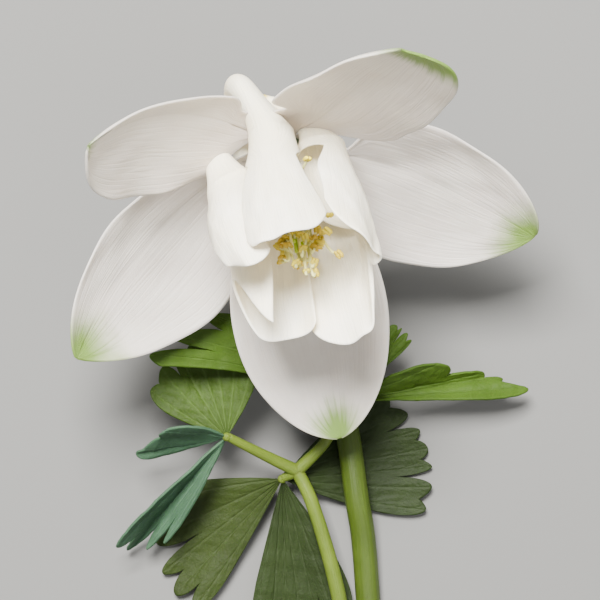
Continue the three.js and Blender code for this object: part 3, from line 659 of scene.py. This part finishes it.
def stamen_form(count, filament):
    """Each filament leaves the collar, runs up close to the axis and curls out to its head, where
    an anther of two plump pods sits. The heads that show stand where they were drawn; the others
    stand in a ring, their azimuth, spread and height drawn at random. The collar is a ring of
    ribs that run into each other."""
    draw = np.random.default_rng(HIDDEN_STAMENS["seed"])
    hidden = count - len(SHOWN_STAMENS)
    azimuth = 2 * np.pi * (np.arange(hidden) + draw.uniform(0, 0.6, hidden)) / hidden
    spread = draw.uniform(*HIDDEN_STAMENS["spread"], hidden)
    height = draw.uniform(*HIDDEN_STAMENS["height"], hidden)
    lies, tones = draw.uniform(0, 360, hidden), draw.uniform(0.5, 1, hidden)
    aside, up = 0.4 + spread * np.cos(azimuth), spread * np.sin(azimuth)
    ring = zip(aside, up, height, lies, tones)
    form = Form()
    t = np.linspace(0, 1, 18)
    for k, (u, v, w, lie, tone) in enumerate((*SHOWN_STAMENS, *ring)):
        head = np.array([u, v])
        foot = head / np.linalg.norm(head) * (2.05 if k % 2 else 1.62)
        near = head * 0.45 + 0.2 * np.array([math.cos(k), math.sin(k)])
        power, bend = (3.2, 1.9) if math.hypot(u, v) < 2.5 else (1.6, np.pi / 2)
        curl = t[:, None] ** power
        flat = mix(foot, near, np.sin(t * np.pi / 2)[:, None]) * (1 - curl) + head * curl
        level = COLLAR["top"] - 0.4 + (w + 0.9 - COLLAR["top"]) * np.sin(t * bend) / math.sin(bend)
        path = HEART + flat @ np.stack([ASIDE, RISE]) + level[:, None] * MOUTH
        form.tube(path, filament * mix(1.15, 0.75, t), 10, ASIDE + 0.3 * RISE, mark=0.2 * t)
        lean = math.radians(lie)
        pods = unit(ASIDE * math.cos(lean) + RISE * math.sin(lean) + 0.5 * MOUTH)
        anther(form, path[-1], pods, tone)
    level = np.linspace(0, 1, 8)
    for azimuth in np.linspace(0, 2 * np.pi, COLLAR["ribs"] + 1)[:-1]:
        path = HEART + mix(COLLAR["low"], COLLAR["top"], level)[:, None] * MOUTH
        path = path + outward(azimuth) * mix(COLLAR["foot"], COLLAR["rim"], level)[:, None]
        form.tube(path, COLLAR["rib"] * np.ones(8), 8, ASIDE)
    return form


def anther(form, centre, lie, tone):
    """An anther: two plump pods side by side, each a tube that swells at its middle."""
    t = np.sin(np.linspace(-np.pi / 2, np.pi / 2, 11))
    across = unit(np.cross(lie, MOUTH + 0.01))
    lift = unit(np.cross(across, lie))
    for side in (-1, 1):
        bow = 0.12 * (t**2)[:, None] * lift
        path = centre + lie * t[:, None] * ANTHER[1] / 2 + across * side * ANTHER[0] * 0.72 + bow
        wide = ANTHER[0] * np.sqrt(np.maximum(1 - t**2, 0.02)) * (1 + 0.12 * np.sin(6 * t + side))
        form.tube(path, wide, 12, across, mark=tone)


def pistil_form():
    """Five carpels stand in a ring, grown together below; each ends in a thin style that leans
    out at its tip."""
    form = Form()
    t = np.linspace(0, 1, 24)
    reach, wide = (np.interp(t, *zip(*CARPEL[key])) for key in ("reach", "radius"))
    for k in range(CARPEL["count"]):
        out = outward(math.radians(36 + 360 * k / CARPEL["count"]))
        path = HEART + mix(CARPEL["low"], CARPEL["top"], t)[:, None] * MOUTH
        form.tube(path + reach[:, None] * out, wide, 14, ASIDE, mark=t)
    return form


def stem_path():
    """The stem's drawn points, then the arc of its crook, then the flower's own axis."""
    way = np.arange(1, 10) / 9
    turn = np.radians(CROOK["end"] * way)
    y = CROOK["middle"][0] + CROOK["radius"][0] * np.sin(turn)
    z = CROOK["middle"][1] - CROOK["radius"][1] * np.cos(turn)
    arc = np.stack([mix(*CROOK["shift"], way), y, z], -1)
    end = HEART + np.array([-RECEPTACLE[1], 0, 0.55])[:, None] * MOUTH
    return np.vstack([STEM_PATH, arc, end])


def stem_form():
    """A tube along the stem, narrower towards the crook, with faint flutes. Close behind the
    flower it swells into the receptacle, and where it would pass through the table it lies on
    it."""
    path = smooth_path(stem_path(), STEM_STEPS)
    t = np.linspace(0, 1, STEM_STEPS + 1)
    to_heart = np.linalg.norm(path - HEART, axis=1)
    plain = mix(STEM_RADIUS, CROOK_RADIUS, smooth((t - 0.3) / 0.5))
    swelling = (RECEPTACLE[0] - CROOK_RADIUS) * smooth((RECEPTACLE[1] + 1 - to_heart) / 2.2)
    # only past the crook, and not where the stem passes under the flower
    swelling = np.where(t > 0.8, swelling, 0)
    radius = (plain + swelling) * SKIN_SHARE["stem"]
    path[:, 2] = np.maximum(path[:, 2], radius)

    def flutes(theta):
        """Their share of the radius, by the way round."""
        return STEM_FLUTES["depth"] * np.cos(STEM_FLUTES["count"] * theta)

    form = Form()
    form.tube(path, radius, 40, flutes=flutes)
    return form


def stalk_form():
    """Tubes along the stalk and its three branches, narrower outwards, and a ball at the fork
    and at each three leaflets' meeting."""
    form = Form()
    for k, points in enumerate(STALK_PATHS):
        steps = BRANCH_STEPS if k else STALK_STEPS
        low, high = STALK_RADIUS[1:] if k else STALK_RADIUS[:2]
        radius = mix(low, high, np.linspace(0, 1, steps + 1)) * SKIN_SHARE["stalk"]
        form.tube(smooth_path(points, steps), radius, 28, (0, 1, 0) if k == 1 else (1, 0, 0))
    t = np.sin(np.linspace(-1, 1, 17) * np.pi / 2)
    knots = [(knot, KNOT_RADIUS) for knot in (LEFT_KNOT, MIDDLE_KNOT, RIGHT_KNOT)]
    for centre, size in ((STALK_PATHS[1][0], FORK_RADIUS), *knots):
        path = np.asarray(centre) + t[:, None] * size * UP
        form.tube(path, size * np.sqrt(np.maximum(1 - t**2, 0.002)), 24)
    return form


def leaf_reach(place, cuts):
    """How far a leaflet's edge reaches across its fan: round lobes that meet in clefts."""
    at, deep = np.array(cuts).T
    k = np.clip(np.searchsorted(at, place, side="right") - 1, 0, len(at) - 2)
    t = np.clip((place - at[k]) / (at[k + 1] - at[k]), 0, 1)
    bulge = np.sin(np.pi * t) ** 0.6
    return (1 - 0.08 * place**2) * (1 - mix(deep[k], deep[k + 1], t) * (1 - bulge))


def leaf_veins(place, out, cuts):
    """How strongly a vein shows: one runs from the stalk to the middle of each lobe, and side
    veins leave it forwards at a steady slant."""
    at = np.array(cuts)[:, 0]
    lobes = (at[1:] + at[:-1]) / 2
    gap = (place[..., None] - lobes) * (0.25 + out[..., None])
    near = np.abs(gap).argmin(-1)
    off = np.take_along_axis(gap, near[..., None], -1)[..., 0]
    main = np.exp(-((off / mix(0.03, 0.012, out)) ** 2))
    slant = out * 7.5 - np.abs(off) * 16 + near * 0.37
    side = np.exp(-((((slant % 1) - 0.5) / 0.085) ** 2)) * np.exp(-((off / 0.09) ** 2))
    return np.clip(main * (1 - 0.5 * out) + 0.45 * side * smooth(out / 0.3), 0, 1)


def leaf_point(p, place, distance):
    """A point of a leaflet's middle surface, by its place across the fan and its distance from
    the knot: out at its angle, lifted by the fold of its half and by a ripple that grows with the
    square of the distance, and then sloped."""
    azimuth = math.radians(p["azimuth"])
    along = np.array([math.cos(azimuth), math.sin(azimuth), 0])
    left = np.array([-along[1], along[0], 0])
    over, high = (turned(a, b, math.radians(p["roll"])) for a, b in ((left, UP), (UP, -left)))
    far = distance / p["length"]
    spread = pick(p["spread"], place) * (1 + pick(p["bow"], place) * (1 - far))
    angle = np.radians(spread * place + p["sweep"] * far)
    x, y = distance * np.cos(angle), distance * np.sin(angle)
    lean = np.radians(mix(*p["fold"], smooth((y / 0.6 + 1) / 2)))
    height = (np.sqrt(y * y + 0.16) - 0.4) * np.sin(lean)
    ripple = p["wave"] * far**2 * np.cos(place * 9 + p["azimuth"])
    slope = p["slope"][0] * distance + p["slope"][1] * distance**2
    flat = np.asarray(p["knot"]) + x[..., None] * along + (y * np.cos(lean))[..., None] * over
    return flat + (height + ripple)[..., None] * high + slope[..., None] * UP


def leaflet_form(p, thickness, seed):
    """A fan from the knot: place runs across it and out along it. Each half is lifted about the
    midline, the whole slopes, and the edge ripples; veins are sunk and the fields between them
    stand a little proud."""
    cuts = p["cuts"]
    lobes = len(cuts) - 1
    per_lobe = round(LEAF_GRID["across"] / lobes)
    at = np.array(cuts)[:, 0]
    places = np.interp(np.arange(lobes * per_lobe + 1) / per_lobe, np.arange(lobes + 1), at)
    out = (1 - (1 - np.linspace(0, 1, LEAF_GRID["along"])) ** 1.25)[:, None]
    place = places[None, :]
    edge = p["length"] * leaf_reach(place, cuts) * (1 + p["skew"] * place)
    distance = mix(LEAF_START, edge, out)
    step = np.minimum(0.4, distance * 0.5)
    centre = leaf_point(p, place, distance)
    down = leaf_point(p, place, distance + step) - leaf_point(p, place, distance - step)
    over = leaf_point(p, place + 0.1, distance) - leaf_point(p, place - 0.1, distance)
    normal = unit(np.cross(down, over))
    vein = leaf_veins(place + 0 * out, out + 0 * place, cuts)
    uneven = ripples(centre @ UNEVEN[0] * 1.1, centre @ UNEVEN[1] * 1.3, seed)
    puff = LEAF_PUFF * uneven * smooth(out / 0.3) - LEAF_VEIN * vein
    centre = centre + puff[..., None] * normal
    form = Form()
    form.blade(centre, thickness, out[:, 0], (places + 1) / 2, vein, normal)
    return form


# ------------------------------------------------------------------------------ materials
def node(tree, kind, inputs=None, **settings):
    """A node with its settings; each input is a socket to link, a value, or an opaque colour."""
    made = tree.nodes.new(kind)
    for key, value in settings.items():
        setattr(made, key, value)
    for key, value in (inputs or {}).items():
        socket = made.inputs[key]
        if isinstance(value, bpy.types.NodeSocket):
            tree.links.new(value, socket)
        else:
            socket.default_value = (*value, 1) if socket.type == "RGBA" else value
    return made


def result_of(tree, operation, *values):
    """A Math node's result."""
    return node(tree, "ShaderNodeMath", dict(enumerate(values)), operation=operation).outputs[0]


def noise(tree, place, scale, detail, roughness=0.5):
    """Noise at a place, mostly near 0.5."""
    inputs = {"Vector": place, "Scale": scale, "Detail": detail, "Roughness": roughness}
    return node(tree, "ShaderNodeTexNoise", inputs).outputs[0]


def ways(tree):
    """How far across its sheet a spot lies, and how far along it."""
    place = node(tree, "ShaderNodeUVMap", uv_map="UVMap").outputs[0]
    return node(tree, "ShaderNodeSeparateXYZ", {0: place}).outputs[:2]


def ramp(tree, value, low, high, to_low=0.0, to_high=1.0):
    """A value from low to high spread over another range, eased at both ends."""
    made = node(
        tree, "ShaderNodeMapRange",
        {"Value": value, "From Min": low, "From Max": high, "To Min": to_low, "To Max": to_high},
        interpolation_type="SMOOTHSTEP",
    )
    return made.outputs["Result"]


def blended(tree, share, a, b):
    """Colour a with a share of colour b: the Mix node's sockets 6 and 7."""
    return node(tree, "ShaderNodeMix", {0: share, 6: a, 7: b}, data_type="RGBA").outputs[2]


def new_group(name, inputs, outputs):
    """A shader node group with float inputs and outputs."""
    tree = bpy.data.node_groups.new(name, "ShaderNodeTree")
    for label, default in inputs.items():
        socket = tree.interface.new_socket(label, in_out="INPUT", socket_type="NodeSocketFloat")
        socket.default_value = default
    for label in outputs:
        tree.interface.new_socket(label, in_out="OUTPUT", socket_type="NodeSocketFloat")
    return tree, node(tree, "NodeGroupInput"), node(tree, "NodeGroupOutput")


def streak_group():
    """Fine veins that run along a sheet: noise that changes fast across it and slowly along."""
    inputs = {"Across": 26.0, "Along": 1.5, "Seed": 0.0}
    tree, given, result = new_group("lengthwise veins", inputs, ["Lines", "Height"])
    across, along = ways(tree)
    across = result_of(tree, "MULTIPLY", across, given.outputs["Across"])
    along = result_of(tree, "MULTIPLY", along, given.outputs["Along"])
    spot = {0: across, 1: along, 2: given.outputs["Seed"]}
    spot = node(tree, "ShaderNodeCombineXYZ", spot).outputs[0]
    coarse, fine = noise(tree, spot, 1.0, 1.5), noise(tree, spot, 2.7, 2.0, 0.6)
    ridge = result_of(tree, "ABSOLUTE", result_of(tree, "SUBTRACT", coarse, 0.5))
    lines = ramp(tree, ridge, 0.0, 0.07, 1.0, 0.0)
    tree.links.new(lines, result.inputs["Lines"])
    low = result_of(tree, "MULTIPLY", lines, -0.6)
    tree.links.new(result_of(tree, "ADD", low, fine), result.inputs["Height"])


def grain_group():
    """A fine velvet and wide patches: two noises in the piece's own space."""
    tree, given, result = new_group("velvet grain", {"Size": 5000.0}, ["Height", "Patches"])
    place = node(tree, "ShaderNodeTexCoord").outputs["Object"]
    small = noise(tree, place, given.outputs["Size"], 2.0, 0.6)
    large = noise(tree, place, 180.0, 3.0, 0.55)
    tree.links.new(small, result.inputs["Height"])
    tree.links.new(large, result.inputs["Patches"])


def placed(tree, group, **values):
    """A group placed in a material, with its own values."""
    return node(tree, "ShaderNodeGroup", values, node_tree=bpy.data.node_groups[group])


def surface(name, roughness, subsurface, radius, specular=0.35):
    """A material with one Principled shader, its nodes and that shader."""
    material = bpy.data.materials.new(name)
    material.use_nodes = True
    shader = material.node_tree.nodes["Principled BSDF"]
    values = {
        "Roughness": roughness, "Subsurface Weight": subsurface, "Subsurface Radius": radius,
        "Subsurface Scale": MM, "Specular IOR Level": specular,
    }
    for key, value in values.items():
        shader.inputs[key].default_value = value
    return material, material.node_tree, shader


def covered(tree, shader, colour, height=None, depth=0.0):
    """The shader takes a colour, and feels a height in depths of a millimetre."""
    tree.links.new(colour, shader.inputs["Base Color"])
    if height is not None:
        felt = node(tree, "ShaderNodeBump", {"Height": height, "Distance": depth * MM})
        tree.links.new(felt.outputs["Normal"], shader.inputs["Normal"])


def white_material(name, white, shade, vein, tip, at, seed, streaks=26.0):
    """A white sheet: veins a little greyer, soft patches and a duller foot. Its tip goes over to
    another colour while the way along it, less some of the way from a line across it, goes from
    start to end. The way along a spur is below 0, and so are the limits for a spur's tip."""
    material, tree, shader = surface(name, 0.5, 0.5, (1.0, 0.9, 0.75))
    veins = placed(tree, "lengthwise veins", Across=streaks, Along=1.6, Seed=seed)
    grain = placed(tree, "velvet grain")
    across, along = ways(tree)
    patches = ramp(tree, grain.outputs["Patches"], 0.3, 0.72)
    patched = result_of(tree, "MULTIPLY", patches, SHEET["patches"])
    colour = blended(tree, patched, white, shade)
    colour = blended(tree, ramp(tree, along, 0.0, 0.5, SHEET["foot"], 0.0), colour, shade)
    veined = result_of(tree, "MULTIPLY", veins.outputs["Lines"], SHEET["veins"])
    colour = blended(tree, veined, colour, vein)
    line, fall, start, end, share = at
    aside = result_of(tree, "ABSOLUTE", result_of(tree, "SUBTRACT", across, line))
    ragged = result_of(tree, "MULTIPLY_ADD", grain.outputs["Patches"], 0.1, -0.05)
    way = result_of(tree, "ADD", result_of(tree, "MULTIPLY_ADD", aside, -fall, along), ragged)
    streaked = result_of(tree, "MULTIPLY_ADD", veins.outputs["Lines"], 0.02, way)
    colour = blended(tree, ramp(tree, streaked, start, end, 0.0, share), colour, tip)
    fine = result_of(tree, "MULTIPLY", grain.outputs["Height"], 0.4)
    height = result_of(tree, "ADD", veins.outputs["Height"], fine)
    covered(tree, shader, colour, height, DEPTHS["sheet"])
    return material


def leaf_material(name, base, dark, vein, share):
    """A matt leaf: paler veins from the leaflet's own marks, patches, and a fine grain."""
    material, tree, shader = surface(name, 0.6, 0.15, (0.5, 0.9, 0.25), specular=0.12)
    grain = placed(tree, "velvet grain", Size=3500.0)
    mark = node(tree, "ShaderNodeAttribute", attribute_name="mark").outputs["Fac"]
    patches = ramp(tree, grain.outputs["Patches"], 0.3, 0.7)
    colour = blended(tree, patches, base, dark)
    colour = blended(tree, result_of(tree, "MULTIPLY", mark, share), colour, vein)
    low = result_of(tree, "MULTIPLY", mark, -0.8)
    height = result_of(tree, "ADD", low, grain.outputs["Height"])
    covered(tree, shader, colour, height, DEPTHS["leaf"])
    return material


def stalk_material(name, base, dark):
    """A smooth stalk with faint lengthwise streaks."""
    material, tree, shader = surface(name, 0.45, 0.25, (0.6, 1.0, 0.3), specular=0.25)
    veins = placed(tree, "lengthwise veins", Across=14.0, Along=5.0, Seed=3.0)
    grain = placed(tree, "velvet grain", Size=2500.0)
    patches = ramp(tree, grain.outputs["Patches"], 0.3, 0.7)
    colour = blended(tree, patches, base, dark)
    height = result_of(tree, "ADD", veins.outputs["Height"], grain.outputs["Height"])
    covered(tree, shader, colour, height, DEPTHS["stalk"])
    return material


def marked_material(name, low, high, deep, switch):
    """A piece whose colour goes from low to high at a switch of its own marks, and on to a deeper
    one where they near 1, with a fine grain."""
    material, tree, shader = surface(name, 0.6, 0.3, (1.0, 0.8, 0.3), specular=0.25)
    grain = placed(tree, "velvet grain", Size=4500.0)
    mark = node(tree, "ShaderNodeAttribute", attribute_name="mark").outputs["Fac"]
    colour = blended(tree, ramp(tree, mark, *switch), low, high)
    uneven = result_of(tree, "MULTIPLY", grain.outputs["Height"], 0.3)
    share = ramp(tree, result_of(tree, "ADD", mark, uneven), 0.75, 1.25)
    colour = blended(tree, share, colour, deep)
    covered(tree, shader, colour, grain.outputs["Height"], DEPTHS["marked"])
    return material


# ------------------------------------------------------------------------------ settings
def colour_property(name, description, code):
    """A colour setting, from the six digits of a screen colour."""
    return bpy.props.FloatVectorProperty(
        name=name, description=description, subtype="COLOR", min=0, max=1, default=linear(code)
    )


def length_property(name, description, default):
    """A length setting, from its millimetres."""
    return bpy.props.FloatProperty(
        name=name, description=description, default=default * MM, min=0.05 * MM, unit="LENGTH"
    )


class FlowerSettings(bpy.types.PropertyGroup):
    """Sizes and colours of the flower."""

    sepal_thickness: length_property("Sepal thickness", "Thickness of each sepal", 0.3)
    petal_thickness: length_property("Petal thickness", "Thickness of each petal", 0.28)
    filament_radius: length_property("Filament radius", "Radius of a stamen's filament", 0.16)
    stamen_count: bpy.props.IntProperty(
        name="Stamens", description="How many stamens the flower has", default=40, min=5, max=80
    )
    # the sepals' colour and shade colour are their own greyish white, darkened further by painted
    # shade for the lesser light the sepals get than the petals
    sepal_grey_and_painted_shade: colour_property("Sepal", "Colour of the sepals", "c4beb5")
    sepal_shade: colour_property("Sepal shade", "Colour of a sepal's duller patches", "b6aca5")
    petal_white: colour_property("Petal", "Colour of the petals", "fcf3de")
    petal_shade: colour_property("Petal shade", "Colour of a petal's duller patches", "ebdfc0")
    vein_white: colour_property("Vein", "Colour of the veins in the white parts", "cfc8c2")
    tip_green: colour_property("Sepal tip", "Colour of a sepal's green tip", "58761c")
    spur_yellow: colour_property("Spur tip", "Colour of a nectar spur's tip", "c4ac34")
    anther_yellow: colour_property("Anther", "Colour of the younger anthers", "d8c440")
    anther_ochre: colour_property("Ripe anther", "Colour of the ripe anthers", "ac8a24")
    filament_pale: colour_property("Filament", "Colour of the filaments", "dcd88c")
    carpel_green: colour_property("Carpel", "Colour of the carpels", "b4cc3a")


class FoliageSettings(bpy.types.PropertyGroup):
    """Sizes and colours of the stem, the stalk and the leaflets."""

    leaf_thickness: length_property("Leaf thickness", "Thickness of each leaflet", 0.3)
    stem_green: colour_property("Stem", "Colour of the stem", "3e4e16")
    stem_dark: colour_property("Stem shade", "Colour of the stem's darker streaks", "33420f")
    stalk_green: colour_property("Leaf stalk", "Colour of the leaf's stalk", "55651e")
    leaf_middle: colour_property("Leaf", "Colour of the left leaflet's face", "2e4010")
    leaf_blue: colour_property("Leaf underside", "Colour of the bluish leaflets", "37513c")
    # the olive and the deep green are partly the leaflets' own green and partly painted shade of the
    # flower that lies over these middle leaflets
    leaf_olive_painted_shade: colour_property("Olive leaf", "Colour of the middle leaf's left leaflet", "242f0e")
    leaf_deep_painted_shade: colour_property("Leaf in shade", "Colour of the middle leaflets", "1f2a10")
    # the bright yellow-green is partly the leaflets' own colour and partly painted light shining
    # through their blades
    leaf_bright_painted_light: colour_property("Bright leaf", "Colour of the yellowish leaflets", "364c14")


class StageSettings(bpy.types.PropertyGroup):
    """Table and light."""

    floor: colour_property("Table", "Colour of the table", "6a6a68")
    key: bpy.props.FloatProperty(
        name="Key light", description="Power of the main light", default=12.0, min=0, unit="POWER"
    )
    fill: bpy.props.FloatProperty(
        name="Fill light", description="Power of the softer light", default=1.0, min=0, unit="POWER"
    )


# ------------------------------------------------------------------------------ operators
class COLUMBINE_OT_sepals(bpy.types.Operator):
    """Makes the five sepals"""

    bl_idname = "columbine.sepals"
    bl_label = "Sepals"

    def execute(self, context):
        made = context.scene.columbine_flower
        # the sepals' colours carry painted shade besides their own greyish white
        colours = made.sepal_grey_and_painted_shade, made.sepal_shade, made.vein_white, made.tip_green
        for seed, (name, own) in enumerate(SEPALS.items()):
            p = {**SEPAL_KIND, **own}
            material = white_material(name, *colours, p["green"], seed + 1.0)
            form = sepal_form(p, made.sepal_thickness / MM, seed)
            dress(form, material, name)
        return {"FINISHED"}


class COLUMBINE_OT_petals(bpy.types.Operator):
    """Makes the five spurred petals"""

    bl_idname = "columbine.petals"
    bl_label = "Petals"

    def execute(self, context):
        made = context.scene.columbine_flower
        colours = made.petal_white, made.petal_shade, made.vein_white, made.spur_yellow
        for seed, (name, own) in enumerate(PETALS.items()):
            p = {**PETAL_KIND, **own}
            material = white_material(name, *colours, p["yellow"], seed + 11.0, streaks=12.0)
            form = petal_form(p, made.petal_thickness / MM, seed + 3)
            dress(form, material, name)
        return {"FINISHED"}


class COLUMBINE_OT_stamens(bpy.types.Operator):
    """Makes the stamens"""

    bl_idname = "columbine.stamens"
    bl_label = "Stamens"

    def execute(self, context):
        made = context.scene.columbine_flower
        colours = made.filament_pale, made.anther_yellow, made.anther_ochre
        material = marked_material("stamens", *colours, (0.25, 0.4))
        form = stamen_form(made.stamen_count, made.filament_radius / MM)
        dress(form, material, "stamens", "stamen_cluster")
        return {"FINISHED"}


class COLUMBINE_OT_pistil(bpy.types.Operator):
    """Makes the five carpels"""

    bl_idname = "columbine.pistil"
    bl_label = "Pistil"

    def execute(self, context):
        made = context.scene.columbine_flower
        green = made.carpel_green
        pale = mix(np.array(green), 1, 0.3)
        material = marked_material("pistil", pale, green, green, (0.2, 0.8))
        dress(pistil_form(), material, "pistil", "carpels")
        return {"FINISHED"}


class COLUMBINE_OT_stem(bpy.types.Operator):
    """Makes the stem, with the swelling that carries the flower"""

    bl_idname = "columbine.stem"
    bl_label = "Stem"

    def execute(self, context):
        made = context.scene.columbine_foliage
        material = stalk_material("stem", made.stem_green, made.stem_dark)
        dress(stem_form(), material, "stem")
        return {"FINISHED"}


class COLUMBINE_OT_stalk(bpy.types.Operator):
    """Makes the leaf's forked stalk and the knots of its leaflets"""

    bl_idname = "columbine.stalk"
    bl_label = "Leaf stalk"

    def execute(self, context):
        made = context.scene.columbine_foliage
        dark = mix(np.array(made.stalk_green), np.array(made.stem_dark), 0.4)
        material = stalk_material("leaf_stalk", made.stalk_green, dark)
        dress(stalk_form(), material, "leaf_stalk")
        return {"FINISHED"}


class COLUMBINE_OT_leaflets(bpy.types.Operator):
    """Makes the nine leaflets"""

    bl_idname = "columbine.leaflets"
    bl_label = "Leaflets"

    def execute(self, context):
        made = context.scene.columbine_foliage
        for seed, (name, own) in enumerate(LEAFLETS.items()):
            p = {**LEAFLET_KIND, **own}
            base = np.array(getattr(made, p["shade"]))
            pale = np.minimum(base * LEAF_PALE[0] + LEAF_PALE[1], 1)
            material = leaf_material(name, base, base * LEAF_DARK, pale, p["veins"])
            form = leaflet_form(p, made.leaf_thickness / MM, seed)
            dress(form, material, name)
        return {"FINISHED"}


class COLUMBINE_OT_stage(bpy.types.Operator):
    """Makes the table, the lights and the camera"""

    bl_idname = "columbine.stage"
    bl_label = "Table, light and camera"

    def execute(self, context):
        made = context.scene.columbine_stage
        material, tree, shader = surface("table", 0.8, 0.0, (1.0, 1.0, 1.0), specular=0.2)
        place = node(tree, "ShaderNodeTexCoord").outputs["Object"]
        cloud = noise(tree, place, 12.0, 4.0)
        shade = [c * 0.96 for c in made.floor]
        covered(tree, shader, blended(tree, cloud, made.floor, shade))
        x, y = TABLE_HALF * np.array([[-1, 1, 1, -1], [-1, -1, 1, 1]])
        mesh = bpy.data.meshes.new("table")
        mesh.from_pydata(np.stack([x, y, 0 * x], -1).tolist(), [], [[0, 1, 2, 3]])
        mesh.materials.append(material)
        floor = bpy.data.objects.new("table", mesh)
        context.scene.collection.objects.link(floor)
        for name, place, size, colour in LIGHTS:
            lamp = bpy.data.lights.new(name, "AREA")
            lamp.shape, lamp.size, lamp.color = "SQUARE", size, colour
            lamp.energy = getattr(made, name)
            light = bpy.data.objects.new(name, lamp)
            light.location = place
            ahead = Vector(LIT_SPOT) - Vector(place)
            light.rotation_euler = ahead.to_track_quat("-Z", "Y").to_euler()
            context.scene.collection.objects.link(light)
        world = bpy.data.worlds.new("room")
        world.use_nodes = True
        air = world.node_tree.nodes["Background"].inputs
        air["Color"].default_value = ROOM["colour"]
        air["Strength"].default_value = ROOM["strength"]
        context.scene.world = world
        lens = bpy.data.cameras.new("camera")
        lens.lens, lens.sensor_width = CAMERA["lens"], CAMERA["sensor"]
        lens.clip_start = CAMERA["near"]
        camera = bpy.data.objects.new("camera", lens)
        camera.location = (-MIDDLE[0] * MM, -MIDDLE[1] * MM, CAMERA["height"])
        context.scene.collection.objects.link(camera)
        context.scene.camera = camera
        return {"FINISHED"}


STEPS = ("stem", "stalk", "leaflets", "sepals", "petals", "stamens", "pistil", "stage")


class COLUMBINE_PT_sidebar(bpy.types.Panel):
    """Lists the steps and the settings"""

    bl_label = "Columbine Sprig"
    bl_space_type = "VIEW_3D"
    bl_region_type = "UI"
    bl_category = "Columbine"

    def draw(self, context):
        for group in SETTINGS:
            box = self.layout.box()
            for name in SETTINGS[group].__annotations__:
                box.prop(getattr(context.scene, group), name)
        for step in STEPS:
            self.layout.operator(f"columbine.{step}")


SETTINGS = {
    "columbine_flower": FlowerSettings,
    "columbine_foliage": FoliageSettings,
    "columbine_stage": StageSettings,
}
CLASSES = (
    *SETTINGS.values(),
    COLUMBINE_OT_stem, COLUMBINE_OT_stalk, COLUMBINE_OT_leaflets, COLUMBINE_OT_sepals,
    COLUMBINE_OT_petals, COLUMBINE_OT_stamens, COLUMBINE_OT_pistil, COLUMBINE_OT_stage,
    COLUMBINE_PT_sidebar,
)


def register():
    """Registers the classes, and gives each scene the settings."""
    for made in CLASSES:
        bpy.utils.register_class(made)
    for name, group in SETTINGS.items():
        setattr(bpy.types.Scene, name, bpy.props.PointerProperty(type=group))


def unregister():
    """Takes the settings and the classes away again."""
    for name in SETTINGS:
        delattr(bpy.types.Scene, name)
    for made in reversed(CLASSES):
        bpy.utils.unregister_class(made)


def main():
    """Makes the sprig and its stage."""
    register()
    streak_group()
    grain_group()
    for step in STEPS:
        getattr(bpy.ops.columbine, step)()
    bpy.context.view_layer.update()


if __name__ == "__main__":
    main()
